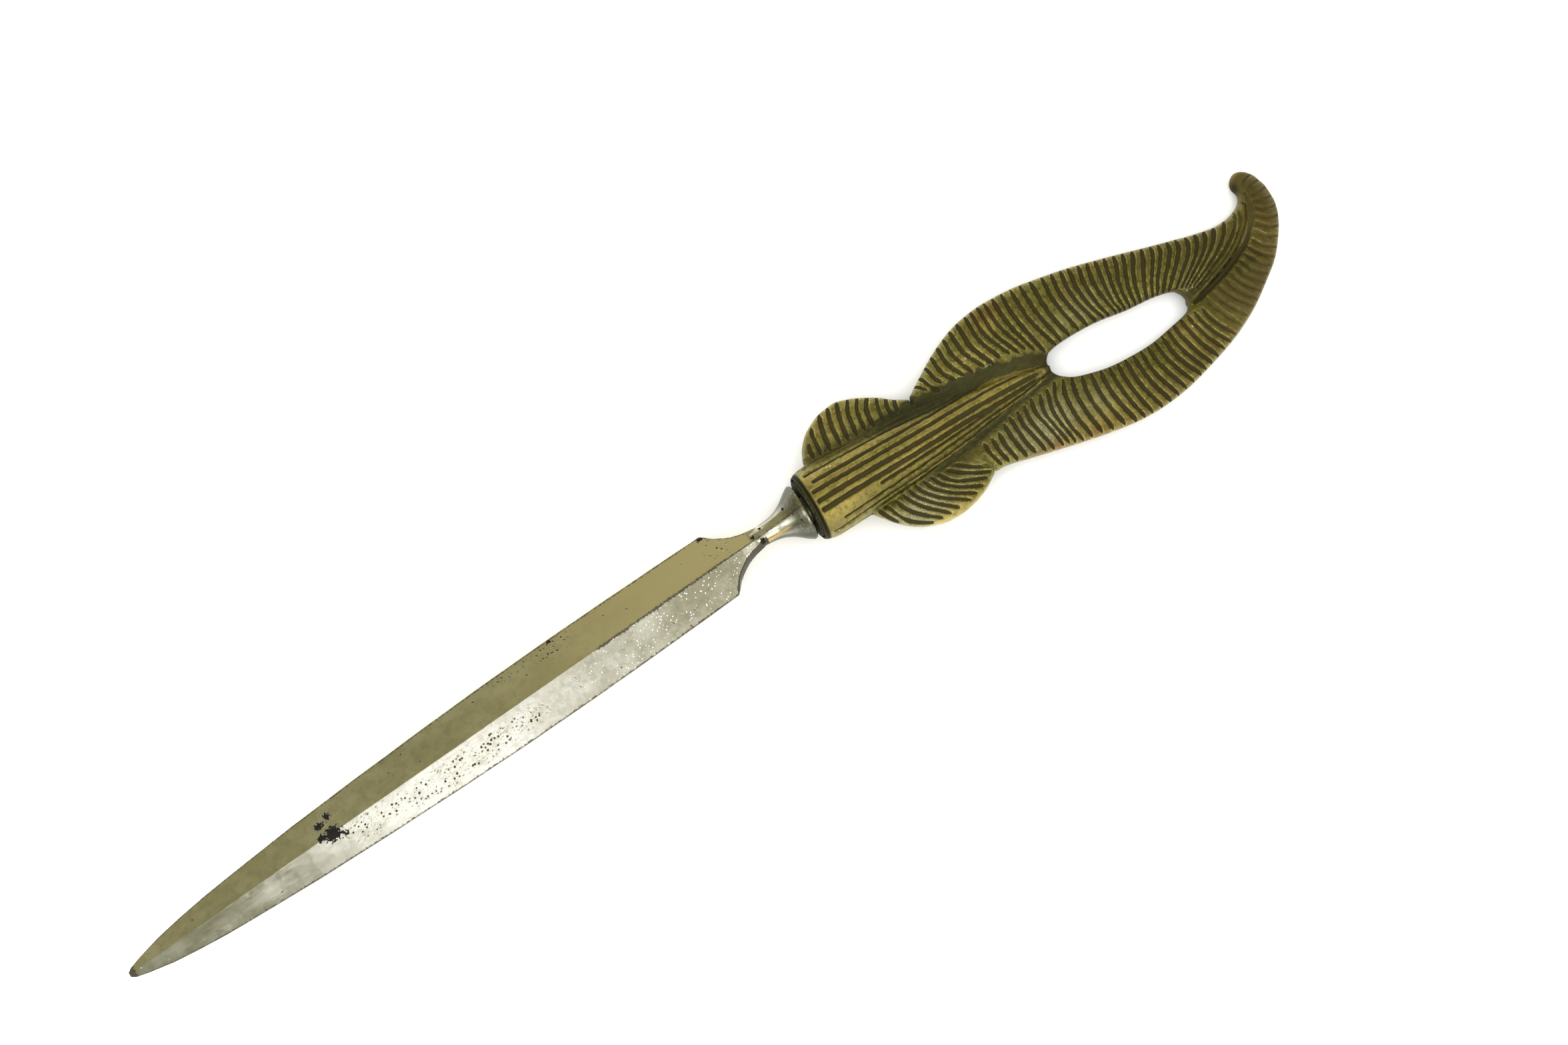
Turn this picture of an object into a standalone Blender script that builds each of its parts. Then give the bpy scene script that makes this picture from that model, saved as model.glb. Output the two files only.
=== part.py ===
"""Letter opener: a lozenge steel blade set in a pierced cast-brass handle.

Lengths below are in millimetres and are scaled to metres when a mesh is made. Everything is
drawn in the tool frame: X runs along the blade's ridge from the tip towards the handle, Y runs
across the blade and Z is up through its thickness. The empty at the end tips the whole tool
into the pose it takes on a table, resting on the socket and on the curled end of the handle.
"""
import math

import bmesh
import bpy
from mathutils import Matrix, Vector

MM = 0.001

# How the tool lies on the table
REST_PITCH = 2.8
REST_SHIFT = (14.43, 5.31, 7.46)

# Blade: position along X, half width, half thickness at the ridge
BLADE_STATIONS = (
    (-140.3, 0.45, 0.45),
    (-139.6, 0.95, 0.55),
    (-137.3, 1.60, 0.80),
    (-133.0, 2.55, 1.12),
    (-127.6, 3.35, 1.40),
    (-122.8, 3.90, 1.60),
    (-113.1, 4.65, 1.86),
    (-103.5, 5.25, 2.02),
    (-88.9, 5.90, 2.07),
    (-74.3, 6.40, 2.12),
    (-59.6, 6.70, 2.17),
    (-44.9, 6.80, 2.22),
    (-30.0, 6.65, 2.27),
    (-15.0, 6.45, 2.32),
)
# Concave shoulders: position, half width, ridge half thickness, slope of the cut wall
SHOULDER_STATIONS = (
    (-14.3, 5.85, 2.32, 0.20),
    (-13.2, 4.65, 2.32, 0.45),
    (-12.1, 3.90, 2.31, 0.60),
    (-11.1, 3.30, 2.28, 0.65),
    (-10.1, 2.80, 2.24, 0.65),
    (-9.1, 2.45, 2.16, 0.65),
    (-8.1, 2.20, 2.06, 0.65),
)
FACET_SLOPE = 0.28
BLADE_CENTRE_Y = -0.25

# Neck, trumpet flare, seating flange and tang, turned about the socket's axis
NECK_POINT = (-6.5, 0.0)
SOCKET_ANGLE = -4.7
NECK_PROFILE = (
    (-1.8, 1.85),
    (0.4, 1.95),
    (2.4, 2.05),
    (4.3, 2.35),
    (5.6, 2.80),
    (6.6, 3.30),
    (7.6, 3.95),
    (8.6, 4.70),
    (9.5, 5.30),
    (9.8, 5.45),
    (10.2, 5.40),
    (10.4, 5.10),
)
TANG_RADIUS = 2.6
TANG_END = 33.0

# Socket bore and the bedding that holds the tang
MOUTH = 11.2
COUNTERBORE_RADIUS = 6.0
COUNTERBORE_END = 13.2
BORE_RADIUS = 3.9
BORE_END = 34.0
BEDDING_GAP = 0.3
BEDDING_COLLAR_RADIUS = 5.7

# Fluted stem of the handle: position along the socket axis, half width, half height
STEM_STATIONS = (
    (11.2, 6.35, 6.35),
    (11.6, 6.80, 6.80),
    (12.5, 7.05, 7.05),
    (12.9, 7.05, 7.05),
    (17.0, 6.95, 6.95),
    (21.5, 6.75, 6.75),
    (26.5, 6.50, 6.35),
    (31.5, 6.20, 5.80),
    (36.5, 5.70, 5.20),
    (41.5, 5.00, 4.60),
    (46.5, 4.20, 4.05),
    (51.5, 3.35, 3.55),
    (56.5, 2.40, 3.05),
    (60.0, 1.55, 2.70),
    (62.9, 0.90, 2.30),
)
FLUTE_COUNT = 22
FLUTE_DEPTH = 0.45
FIRST_FLUTED_STATION = 3

# Half thickness of the leaf: along its inner edge, its swelling middle and its outer edge
LEAF_INNER = 1.15
LEAF_MIDDLE = 2.45
LEAF_OUTER = 0.75
BARB_DEPTH = 0.32
SECTION_SPREAD = (0.0, 0.09, 0.28, 0.55, 0.80, 0.94, 1.0)

# Each leaf is a run of barbs, drawn here as (outer end, inner end)
UPPER_VANE = (
    ((31.5, 5.3), (30.6, 2.4)),
    ((33.4, 6.1), (33.6, 1.8)),
    ((35.4, 7.2), (36.6, 1.4)),
    ((39.3, 9.2), (40.2, 0.6)),
    ((43.1, 10.6), (44.0, -0.4)),
    ((47.1, 11.7), (48.2, -1.4)),
    ((50.8, 12.0), (51.8, -2.4)),
    ((54.2, 11.9), (55.2, -3.6)),
    ((57.2, 11.7), (57.6, -3.0)),
    ((59.6, 11.3), (59.9, -2.3)),
    ((65.3, 10.0), (65.2, -2.5)),
    ((69.1, 8.9), (69.0, -3.0)),
    ((72.5, 7.9), (71.3, -3.4)),
    ((77.4, 6.2), (74.4, -4.2)),
    ((82.6, 4.3), (78.6, -5.0)),
    ((86.0, 3.1), (81.4, -5.5)),
    ((89.0, 2.0), (83.6, -6.1)),
    ((91.2, 1.2), (85.0, -7.2)),
    ((93.2, 0.5), (85.7, -9.3)),
    ((96.2, -0.5), (87.4, -9.9)),
    ((98.6, -0.9), (89.4, -9.9)),
    ((101.0, -1.0), (92.2, -9.3)),
    ((103.3, -0.6), (96.2, -8.0)),
    ((104.8, 0.3), (100.2, -6.0)),
    ((105.7, 1.2), (103.6, -3.6)),
)
LOWER_VANE = (
    ((36.5, -15.2), (34.0, -6.2)),
    ((38.6, -15.2), (38.2, -6.4)),
    ((41.1, -15.9), (41.6, -6.2)),
    ((45.6, -17.3), (46.6, -5.8)),
    ((50.3, -18.9), (51.6, -5.4)),
    ((52.9, -19.6), (54.6, -5.6)),
    ((55.0, -20.3), (56.8, -6.6)),
    ((57.0, -20.9), (58.6, -8.5)),
    ((59.1, -21.6), (60.7, -9.7)),
    ((63.6, -22.5), (64.2, -10.8)),
    ((67.2, -23.0), (67.7, -11.5)),
    ((71.3, -23.2), (71.0, -12.0)),
    ((75.2, -23.0), (74.0, -12.2)),
    ((78.7, -22.5), (77.2, -12.2)),
    ((82.0, -21.9), (80.4, -11.7)),
    ((85.1, -21.2), (83.8, -11.3)),
    ((88.0, -20.4), (85.4, -9.8)),
    ((91.0, -19.5), (87.4, -8.7)),
    ((93.6, -18.5), (90.4, -8.1)),
    ((98.1, -16.2), (94.6, -7.1)),
    ((100.8, -14.7), (97.0, -6.2)),
    ((102.6, -13.6), (99.2, -5.4)),
    ((104.6, -12.2), (101.0, -4.4)),
    ((106.5, -10.5), (102.8, -3.2)),
    ((108.3, -8.5), (104.4, -1.9)),
    ((109.8, -6.4), (105.4, -0.9)),
    ((110.8, -4.2), (105.9, 0.2)),
    ((111.3, -2.0), (106.0, 1.0)),
    ((111.4, -0.3), (106.0, 1.7)),
    ((111.1, 1.6), (105.8, 2.2)),
    ((110.6, 3.1), (105.6, 2.7)),
    ((109.6, 4.5), (105.5, 3.1)),
    ((108.2, 5.2), (105.6, 3.7)),
    ((107.0, 5.1), (105.9, 4.3)),
)
UPPER_LOBE = (
    ((8.6, 6.7), (8.8, 3.6)),
    ((10.4, 9.4), (10.6, 3.6)),
    ((13.0, 11.3), (12.3, 3.5)),
    ((16.0, 12.3), (14.2, 3.4)),
    ((18.4, 12.6), (16.1, 3.3)),
    ((20.6, 12.3), (18.0, 3.2)),
    ((22.6, 11.5), (19.8, 3.0)),
    ((24.6, 10.4), (21.5, 2.8)),
    ((26.3, 9.2), (23.4, 2.6)),
    ((27.9, 7.9), (25.4, 2.4)),
    ((29.5, 6.5), (27.4, 2.2)),
    ((31.3, 5.3), (29.6, 2.0)),
)
LOWER_LOBE = (
    ((13.8, -8.9), (14.8, -6.4)),
    ((15.1, -11.0), (16.6, -6.5)),
    ((17.7, -14.1), (18.2, -6.5)),
    ((20.6, -16.1), (19.8, -6.5)),
    ((23.3, -17.3), (21.3, -6.5)),
    ((26.0, -17.9), (23.0, -6.4)),
    ((28.6, -17.9), (24.8, -6.3)),
    ((31.0, -17.5), (26.6, -6.2)),
    ((33.2, -16.8), (28.6, -6.1)),
    ((35.0, -16.0), (31.0, -6.0)),
    ((36.9, -15.2), (34.4, -6.0)),
)
UPPER_VANE_BARBS = 38
LOWER_VANE_BARBS = 46
LOBE_BARBS = 11

# Raised midrib between the hole and the crook: position, half width, half height
MIDRIB = (
    ((85.2, -9.2), 1.5, 2.0),
    ((87.5, -9.4), 1.2, 2.5),
    ((91.0, -8.9), 1.0, 2.6),
    ((95.2, -7.8), 0.9, 2.6),
    ((98.7, -6.4), 0.8, 2.6),
    ((101.3, -4.8), 0.8, 2.5),
    ((103.4, -2.9), 0.8, 2.4),
    ((104.9, -0.9), 0.7, 2.1),
)
MIDRIB_SIDES = 8
TURNED_SIDES = 36
BEDDING_SIDES = 28


def make_material(name, colour, roughness, metallic):
    material = bpy.data.materials.new(name)
    material.use_nodes = True
    shader = material.node_tree.nodes["Principled BSDF"]
    shader.inputs["Base Color"].default_value = (*colour, 1.0)
    shader.inputs["Roughness"].default_value = roughness
    shader.inputs["Metallic"].default_value = metallic
    return material


def make_object(name, body, material, matrix=None):
    """Wraps a bmesh drawn in millimetres as an object in metres with its normals facing out."""
    if matrix is not None:
        bmesh.ops.transform(body, matrix=matrix, verts=body.verts)
    bmesh.ops.scale(body, vec=(MM, MM, MM), verts=body.verts)
    bmesh.ops.recalc_face_normals(body, faces=body.faces)
    mesh = bpy.data.meshes.new(name)
    body.to_mesh(mesh)
    body.free()
    mesh.shade_smooth()
    mesh.set_sharp_from_angle(angle=math.radians(35))
    mesh.materials.append(material)
    piece = bpy.data.objects.new(name, mesh)
    bpy.context.scene.collection.objects.link(piece)
    return piece


def loft(rings):
    """Closed body through rings of equally many points, with a face over each end."""
    body = bmesh.new()
    loops = [[body.verts.new(Vector(point)) for point in ring] for ring in rings]
    count = len(loops[0])
    for here, there in zip(loops, loops[1:]):
        for i in range(count):
            j = (i + 1) % count
            body.faces.new((here[i], here[j], there[j], there[i]))
    body.faces.new(loops[0])
    body.faces.new(loops[-1])
    return body


def turned(profile, sides):
    """Body of revolution about X from a closed profile of (position, radius) points."""
    rings = []
    for position, radius in profile:
        turn = [2 * math.pi * i / sides for i in range(sides)]
        rings.append([(position, radius * math.cos(a), radius * math.sin(a)) for a in turn])
    return loft(rings)


def turned_tube(outer, inner, sides):
    """Open tube about X: its outer profile, and its straight bore from end to end."""
    body = bmesh.new()
    points = list(outer) + [(outer[-1][0], inner), (outer[0][0], inner)]
    rings = []
    for position, radius in points:
        turn = [2 * math.pi * i / sides for i in range(sides)]
        ring = [(position, radius * math.cos(a), radius * math.sin(a)) for a in turn]
        rings.append([body.verts.new(Vector(point)) for point in ring])
    for k, here in enumerate(rings):
        there = rings[(k + 1) % len(rings)]
        for i in range(sides):
            j = (i + 1) % sides
            body.faces.new((here[i], here[j], there[j], there[i]))
    return body


def socket_frame():
    """Places a body turned about X on the socket's axis."""
    shift = Matrix.Translation(Vector((NECK_POINT[0], NECK_POINT[1], 0.0)))
    return shift @ Matrix.Rotation(math.radians(SOCKET_ANGLE), 4, "Z")


def combine(piece, other, operation):
    """Adds an exact boolean of another body, which is kept only as its cutter."""
    modifier = piece.modifiers.new(other.name, "BOOLEAN")
    modifier.operation = operation
    modifier.solver = "EXACT"
    modifier.object = other
    other.hide_render = True
    other.display_type = "WIRE"


def blade_body():
    """Lozenge blade, one ring of eight points at each station."""
    stations = [(*station, 0.0) for station in BLADE_STATIONS] + list(SHOULDER_STATIONS)
    rings = []
    for position, width, ridge, undercut in stations:
        edge = max(ridge - FACET_SLOPE * width, 0.18)
        lip = width - undercut
        lip_height = edge + FACET_SLOPE * undercut
        quarter = [(0.0, ridge), (lip, lip_height), (width, 0.0), (lip, -lip_height)]
        half = quarter + [(-across, -up) for across, up in quarter]
        rings.append([(position, BLADE_CENTRE_Y + across, up) for across, up in half])
    return loft(rings)


def stem_body():
    """Fluted tube that tapers from the socket's mouth to the near end of the hole."""
    rings = []
    per_flute = 3
    count = FLUTE_COUNT * per_flute
    for index, (position, width, height) in enumerate(STEM_STATIONS):
        fade = min(1.0, width / STEM_STATIONS[FIRST_FLUTED_STATION][1] + 0.15)
        depth = FLUTE_DEPTH * fade if index >= FIRST_FLUTED_STATION else 0.0
        ring = []
        for i in range(count):
            angle = 2 * math.pi * i / count
            cut = depth if i % per_flute == 0 else 0.0
            across = (width - cut) * math.cos(angle)
            up = (height - cut) * math.sin(angle)
            ring.append((position, across, up))
        rings.append(ring)
    return loft(rings)


def even_barbs(keys, count):
    """Barbs at an even pitch along a leaf, by distance between the drawn barbs' middles."""
    middles = [(Vector(outer) + Vector(inner)) / 2 for outer, inner in keys]
    travel = [0.0]
    for here, there in zip(middles, middles[1:]):
        travel.append(travel[-1] + (there - here).length)
    barbs = []
    span = 0
    for i in range(count):
        at = travel[-1] * i / (count - 1)
        while span < len(keys) - 2 and travel[span + 1] < at:
            span += 1
        share = (at - travel[span]) / (travel[span + 1] - travel[span])
        outer = Vector(keys[span][0]).lerp(Vector(keys[span + 1][0]), share)
        inner = Vector(keys[span][1]).lerp(Vector(keys[span + 1][1]), share)
        barbs.append((outer, inner))
    return barbs


def leaf_body(keys, barb_count):
    """Swollen leaf with one ring for each barb and one for each groove between barbs."""
    rings = []
    for index, (outer, inner) in enumerate(even_barbs(keys, 2 * barb_count + 1)):
        groove = BARB_DEPTH if index % 2 else 0.0
        top = []
        for spread in SECTION_SPREAD:
            place = inner.lerp(outer, spread)
            rim = LEAF_INNER + (LEAF_OUTER - LEAF_INNER) * spread
            swell = math.sin(math.pi * spread) ** 0.7
            full = min(1.0, (outer - inner).length / (4 * LEAF_MIDDLE))
            half = rim + (LEAF_MIDDLE * full + rim * (1 - full) - rim) * swell
            top.append((place.x, place.y, half - groove * min(1.0, 1.4 * swell)))
        bottom = [(x, y, -z) for x, y, z in reversed(top)]
        rings.append(top + bottom)
    return loft(rings)


def midrib_body():
    """Rounded rib from the far end of the hole to the crook of the curl."""
    rings = []
    for index, (centre, width, height) in enumerate(MIDRIB):
        before = Vector(MIDRIB[max(index - 1, 0)][0])
        after = Vector(MIDRIB[min(index + 1, len(MIDRIB) - 1)][0])
        along = (after - before).normalized()
        side = Vector((-along.y, along.x))
        ring = []
        for i in range(MIDRIB_SIDES):
            angle = 2 * math.pi * i / MIDRIB_SIDES
            place = Vector(centre) + side * width * math.cos(angle)
            ring.append((place.x, place.y, height * math.sin(angle)))
        rings.append(ring)
    return loft(rings)


def make_blade(steel):
    blade = make_object("blade", blade_body(), steel)
    profile = NECK_PROFILE + ((NECK_PROFILE[-1][0], TANG_RADIUS), (TANG_END, TANG_RADIUS))
    neck = make_object("neck_and_tang", turned(profile, TURNED_SIDES), steel, socket_frame())
    combine(blade, neck, "UNION")
    return [blade, neck]


def make_handle(brass):
    handle = make_object("handle", stem_body(), brass, socket_frame())
    leaves = (
        ("upper_lobe", UPPER_LOBE, LOBE_BARBS),
        ("lower_lobe", LOWER_LOBE, LOBE_BARBS),
        ("upper_vane", UPPER_VANE, UPPER_VANE_BARBS),
        ("lower_vane", LOWER_VANE, LOWER_VANE_BARBS),
    )
    added = [make_object(name, leaf_body(keys, barbs), brass) for name, keys, barbs in leaves]
    added.append(make_object("midrib", midrib_body(), brass))
    for body in added:
        combine(handle, body, "UNION")
    bore_profile = (
        (MOUTH - 2.0, COUNTERBORE_RADIUS),
        (COUNTERBORE_END, COUNTERBORE_RADIUS),
        (COUNTERBORE_END + 0.6, BORE_RADIUS),
        (BORE_END, BORE_RADIUS),
    )
    bore = make_object("socket_bore", turned(bore_profile, BEDDING_SIDES), brass, socket_frame())
    combine(handle, bore, "DIFFERENCE")
    return [handle, *added, bore]


def make_bedding(cement):
    """Bedding round the tang: a collar that fills the socket's mouth and a thin sleeve."""
    start = NECK_PROFILE[-1][0] + BEDDING_GAP
    collar_end = COUNTERBORE_END - BEDDING_GAP
    sleeve_radius = BORE_RADIUS - BEDDING_GAP
    outer = (
        (start, BEDDING_COLLAR_RADIUS),
        (collar_end, BEDDING_COLLAR_RADIUS),
        (collar_end, sleeve_radius),
        (BORE_END - BEDDING_GAP, sleeve_radius),
    )
    body = turned_tube(outer, TANG_RADIUS + BEDDING_GAP, BEDDING_SIDES)
    return [make_object("tang_bedding", body, cement, socket_frame())]


def main():
    for old in list(bpy.data.objects):
        bpy.data.objects.remove(old, do_unlink=True)
    steel = make_material("polished_steel", (0.60, 0.58, 0.53), 0.28, 1.0)
    brass = make_material("aged_brass", (0.30, 0.24, 0.10), 0.42, 1.0)
    cement = make_material("dark_bedding", (0.05, 0.045, 0.04), 0.85, 0.0)
    pieces = make_blade(steel) + make_handle(brass) + make_bedding(cement)
    tool = bpy.data.objects.new("letter_opener", None)
    bpy.context.scene.collection.objects.link(tool)
    tool.rotation_euler = (0.0, math.radians(REST_PITCH), 0.0)
    tool.location = Vector(REST_SHIFT) * MM
    for piece in pieces:
        piece.parent = tool
    bpy.context.view_layer.update()


main()
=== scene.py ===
"""Letter opener: finished surfaces, materials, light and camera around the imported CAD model.

Lengths are in millimetres in the tool frame (X along the blade's ridge, Z up through its
thickness) unless a name or comment says otherwise. The tool lies on the floor tipped by
REST_PITCH: each mesh is drawn in the tool frame and then moved into that pose in the row frame,
in metres, so that its object stays at the origin.
"""
import math

import bmesh
import bpy
import numpy as np
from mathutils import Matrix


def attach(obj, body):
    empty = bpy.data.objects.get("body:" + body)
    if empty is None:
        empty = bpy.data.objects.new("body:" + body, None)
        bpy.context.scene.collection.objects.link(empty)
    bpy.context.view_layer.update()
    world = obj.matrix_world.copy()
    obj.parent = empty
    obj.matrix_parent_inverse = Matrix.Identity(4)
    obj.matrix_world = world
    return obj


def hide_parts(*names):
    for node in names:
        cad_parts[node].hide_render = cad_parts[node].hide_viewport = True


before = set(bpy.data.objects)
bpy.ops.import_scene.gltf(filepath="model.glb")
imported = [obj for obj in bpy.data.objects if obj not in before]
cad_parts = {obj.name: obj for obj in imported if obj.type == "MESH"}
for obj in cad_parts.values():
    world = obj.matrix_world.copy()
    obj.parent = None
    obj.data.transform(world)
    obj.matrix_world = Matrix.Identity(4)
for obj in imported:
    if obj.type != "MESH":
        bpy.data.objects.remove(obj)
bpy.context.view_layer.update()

import openvdb
from mathutils import Matrix, Vector

MM = 0.001

# How the tool lies on the floor, as in the CAD model
REST_PITCH = 2.8
REST_SHIFT = (14.43, 5.31, 7.46)
TOOL_TO_ROW = (Matrix.Translation(Vector(REST_SHIFT) * MM)
               @ Matrix.Rotation(math.radians(REST_PITCH), 4, "Y"))

# Blade: position along X, half width, half thickness at the ridge, undercut of the cut wall
BLADE_STATIONS = (
    (-140.3, 0.45, 0.45, 0),
    (-139.6, 0.95, 0.55, 0),
    (-137.3, 1.60, 0.80, 0),
    (-133, 2.55, 1.12, 0),
    (-127.6, 3.35, 1.40, 0),
    (-122.8, 3.90, 1.60, 0),
    (-113.1, 4.65, 1.86, 0),
    (-103.5, 5.25, 2.02, 0),
    (-88.9, 5.90, 2.07, 0),
    (-74.3, 6.40, 2.12, 0),
    (-59.6, 6.70, 2.17, 0),
    (-44.9, 6.80, 2.22, 0),
    (-30, 6.65, 2.27, 0),
    (-15, 6.45, 2.32, 0),
    (-14.3, 5.85, 2.32, 0.20),
    (-13.2, 4.65, 2.32, 0.45),
    (-12.1, 3.90, 2.31, 0.60),
    (-11.1, 3.30, 2.28, 0.65),
    (-10.1, 2.80, 2.24, 0.65),
    (-9.1, 2.45, 2.16, 0.65),
    (-8.1, 2.20, 2.06, 0.70),
    (-7.2, 2.06, 1.96, 0.80),
    (-6.4, 1.94, 1.84, 0.90),
    (-5.6, 1.78, 1.66, 0.95),
    (-4.8, 1.50, 1.40, 0.95),
)
BLADE_END = -15.0
FACET_SLOPE = 0.28
EDGE_HALF_THICKNESS = 0.18
BLADE_CENTRE_Y = -0.25
BLADE_STEP = 0.5
SHOULDER_STEP = 0.2
FACET_STEPS = 14
FULL_UNDERCUT = 0.65
UPPER_SHOULDER_EXTRA = 0.25
UPPER_UNDERCUT = 0.10
EDGE_WAVE = 0.02

# Socket axis, and the neck, flare and tang turned about it: position along the axis, radius
NECK_POINT = (-6.5, 0)
SOCKET_ANGLE = -4.7
NECK_PROFILE = (
    (-1.8, 1.85), (0.4, 1.95), (2.4, 2.05), (4.2, 2.35), (5.4, 2.80), (6.35, 3.30),
    (7.3, 3.95), (8.25, 4.70), (9.15, 5.30), (9.45, 5.45), (9.85, 5.40), (10.05, 5.10),
)
TANG_RADIUS = 2.6
TANG_END = 33.0
TANG_CHAMFER = 0.4
TURNED_SIDES = 72

# Socket
MOUTH = 10.9
COUNTERBORE_RADIUS = 6.0
COUNTERBORE_END = 13.2
BORE_RADIUS = 3.9
BORE_END = 34.0

# Painted shade on the rounded ring in the mouth, along the socket axis: its paler lip, and where it
# fades in
LIP_AT = 11.05
MOUTH_SHADE = (12.10, 11.70)

# Fluted stem: position along the socket axis, half width, half height
STEM_STATIONS = (
    (10.9, 6.25, 6.25), (11.3, 6.50, 6.50), (11.8, 6.72, 6.72), (12.4, 6.90, 6.90),
    (13, 7.00, 7.00), (13.8, 7.04, 7.04),
    (17, 6.95, 6.95), (21.5, 6.75, 6.75), (26.5, 6.50, 6.35), (31.5, 6.20, 5.80),
    (36.5, 5.70, 5.20), (41.5, 5.00, 4.60), (46.5, 4.20, 4.05), (51.5, 3.35, 3.55),
    (56.5, 2.40, 3.05), (60, 1.55, 2.70), (62.9, 0.90, 2.30),
)
STEM_END = 62.9
STEM_REACH = 8.5

# Flutes: width at the mouth and at the far end, then pairs of position along the socket axis
# and degrees round from the top towards +Y
FLUTES = (
    (0.50, 0.45, (13, 66), (24.8, 68), (33, 68), (41, 76)),
    (0.75, 0.55, (12.4, 44), (24.8, 48), (38.5, 52), (44, 61), (48, 80)),
    (0.90, 0.68, (13, 26), (24.8, 28), (31.7, 31), (38.6, 37), (43.4, 47), (48, 66), (53, 80)),
    (0.80, 0.74, (12, 11), (24.9, 12), (31.7, 14), (38.6, 18), (47.7, 30), (52.1, 39), (59, 52)),
    (0.84, 0.95, (12, -6), (18.2, -4), (31.8, -3), (38.7, -1), (47.8, 3), (58, 3), (62.5, 0)),
    (0.92, 0.80, (12, -21), (18.4, -19), (32, -18), (43.6, -16), (47.9, -19), (61.5, -30)),
    (0.62, 0.42, (23.8, -31), (32.2, -29), (43.7, -28), (52.5, -27)),
    (0.42, 0.48, (15.1, -50), (25.9, -46), (39.2, -42), (48.2, -43), (56.9, -49), (61.5, -52)),
    (0.62, 0.54, (12.4, -68), (22.4, -61), (34.1, -59), (44.1, -61), (52.5, -58)),
    (0.60, 0.50, (13.5, -86), (56, -84)),
)
# Where painted shade begins on the stem's flanks, above and below its bright ribs, as pairs of
# position and degrees, then how strong it is, as pairs of position and strength
SHADED_ABOVE = ((12, 48), (28, 46), (33.2, 39), (38.5, 38), (43.4, 44), (47.8, 57), (52.4, 68))
SHADED_BELOW = ((34, -66), (44, -60), (52, -56), (60, -58))
ABOVE_STRENGTH = ((12, 0.40), (25, 0.48), (36, 1))
BELOW_STRENGTH = ((25, 0), (36, 0.7))
SHADE_SOFTNESS = 8.0

# Length over which a flute starts and runs out, and its depth
FLUTE_START = 0.5
FLUTE_RUNOUT = 4.0
FLUTE_DEPTH = 0.55

# Fillet between the stem and the leaves
STEM_FILLET = 0.5

# Plan of the handle
VANE_TOP = (
    (31.9, 5.4), (34.9, 7), (40, 9.5), (46, 11.5), (51.6, 12.1), (56.1, 11.8),
    (60.2, 11.2), (65.2, 10), (70.3, 8.6), (75.4, 6.9), (80.4, 5.1), (85.5, 3.2),
    (90.6, 1.4), (93.7, 0.3), (97.7, -0.8), (99.8, -1), (101.8, -0.9), (103.9, -0.3),
    (105.2, 0.6), (105.8, 1.7), (105.5, 3), (105.9, 4.2), (107, 5.1), (108, 5.3),
    (109, 5), (110, 4.1), (110.8, 2.7), (111.3, 0.5),
)
VANE_LOW = (
    (111.35, -0.8), (110.9, -4), (108.9, -7.6), (104.8, -12), (100.7, -14.7),
    (95.6, -17.6), (90.5, -19.7), (86.4, -20.9), (82.3, -21.8), (78.2, -22.6), (75.2, -23),
    (71.1, -23.2), (67.1, -23), (63, -22.4), (56.9, -20.9), (49.9, -18.8), (42.8, -16.5),
    (39.8, -15.5), (38.3, -15.2), (37.1, -15.2),
)
VANE_ROOT = ((34, -11), (31.5, -4), (31, 2))
HOLE = (
    (56.4, -5.4), (56.7, -4), (57.6, -3), (58.8, -2.5), (61.6, -2.3), (66.2, -2.6),
    (70.2, -3.2), (75.3, -4.4), (80.4, -5.2), (83.9, -6.2), (85.1, -7.2), (85.6, -8.8),
    (84.9, -10.6), (83.4, -11.3), (80.3, -11.7), (75.2, -12.2), (70, -11.9), (65.1, -11.1),
    (60.1, -9.4), (58, -8.1), (56.8, -6.8),
)
UPPER_LOBE = (
    (8.5, 4), (8.5, 6.2), (9.3, 7.9), (10.1, 9), (11.9, 10.6), (13.9, 11.6), (15.9, 12.3),
    (17.9, 12.5), (19.9, 12.5), (21.9, 11.8), (23.9, 10.8), (26.9, 8.8), (28.9, 7),
    (31.4, 5.2),
)
UPPER_LOBE_ROOT = ((31.4, 2), (20, 0), (8.8, 1))
LOWER_LOBE = (
    (36.6, -15.2), (35.8, -15.6), (33.8, -16.6), (31.7, -17.3), (29.7, -17.7), (27.7, -17.9),
    (25.7, -17.8), (23.7, -17.5), (21.7, -16.7), (19.7, -15.7), (17.7, -14.1), (16.2, -12.4),
    (15, -10.8), (13.5, -8.4),
)
LOWER_LOBE_ROOT = ((14.5, -5), (25, -3), (36, -5), (37, -12))
STEM_EDGE_TOP = ((8, 5.9), (20, 5), (30, 3.6), (40, 1.2), (50, -1.8), (56.3, -5))
STEM_EDGE_LOW = ((8, -8), (20, -8.2), (30, -7.7), (40, -7.1), (50, -6.2), (56.3, -5))
RACHIS = ((85.9, -9.9), (90, -9.1), (95.1, -7.8), (98.7, -6.4), (101.2, -4.8),
          (103.3, -3.2), (104.9, -1))
RACHIS_GROOVE = ((85.9, -10.7), (92, -9.8), (97.1, -8.4), (101, -6.9), (103.2, -5.2),
                 (105.3, -3), (106.3, -0.2), (106.6, 1))

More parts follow.
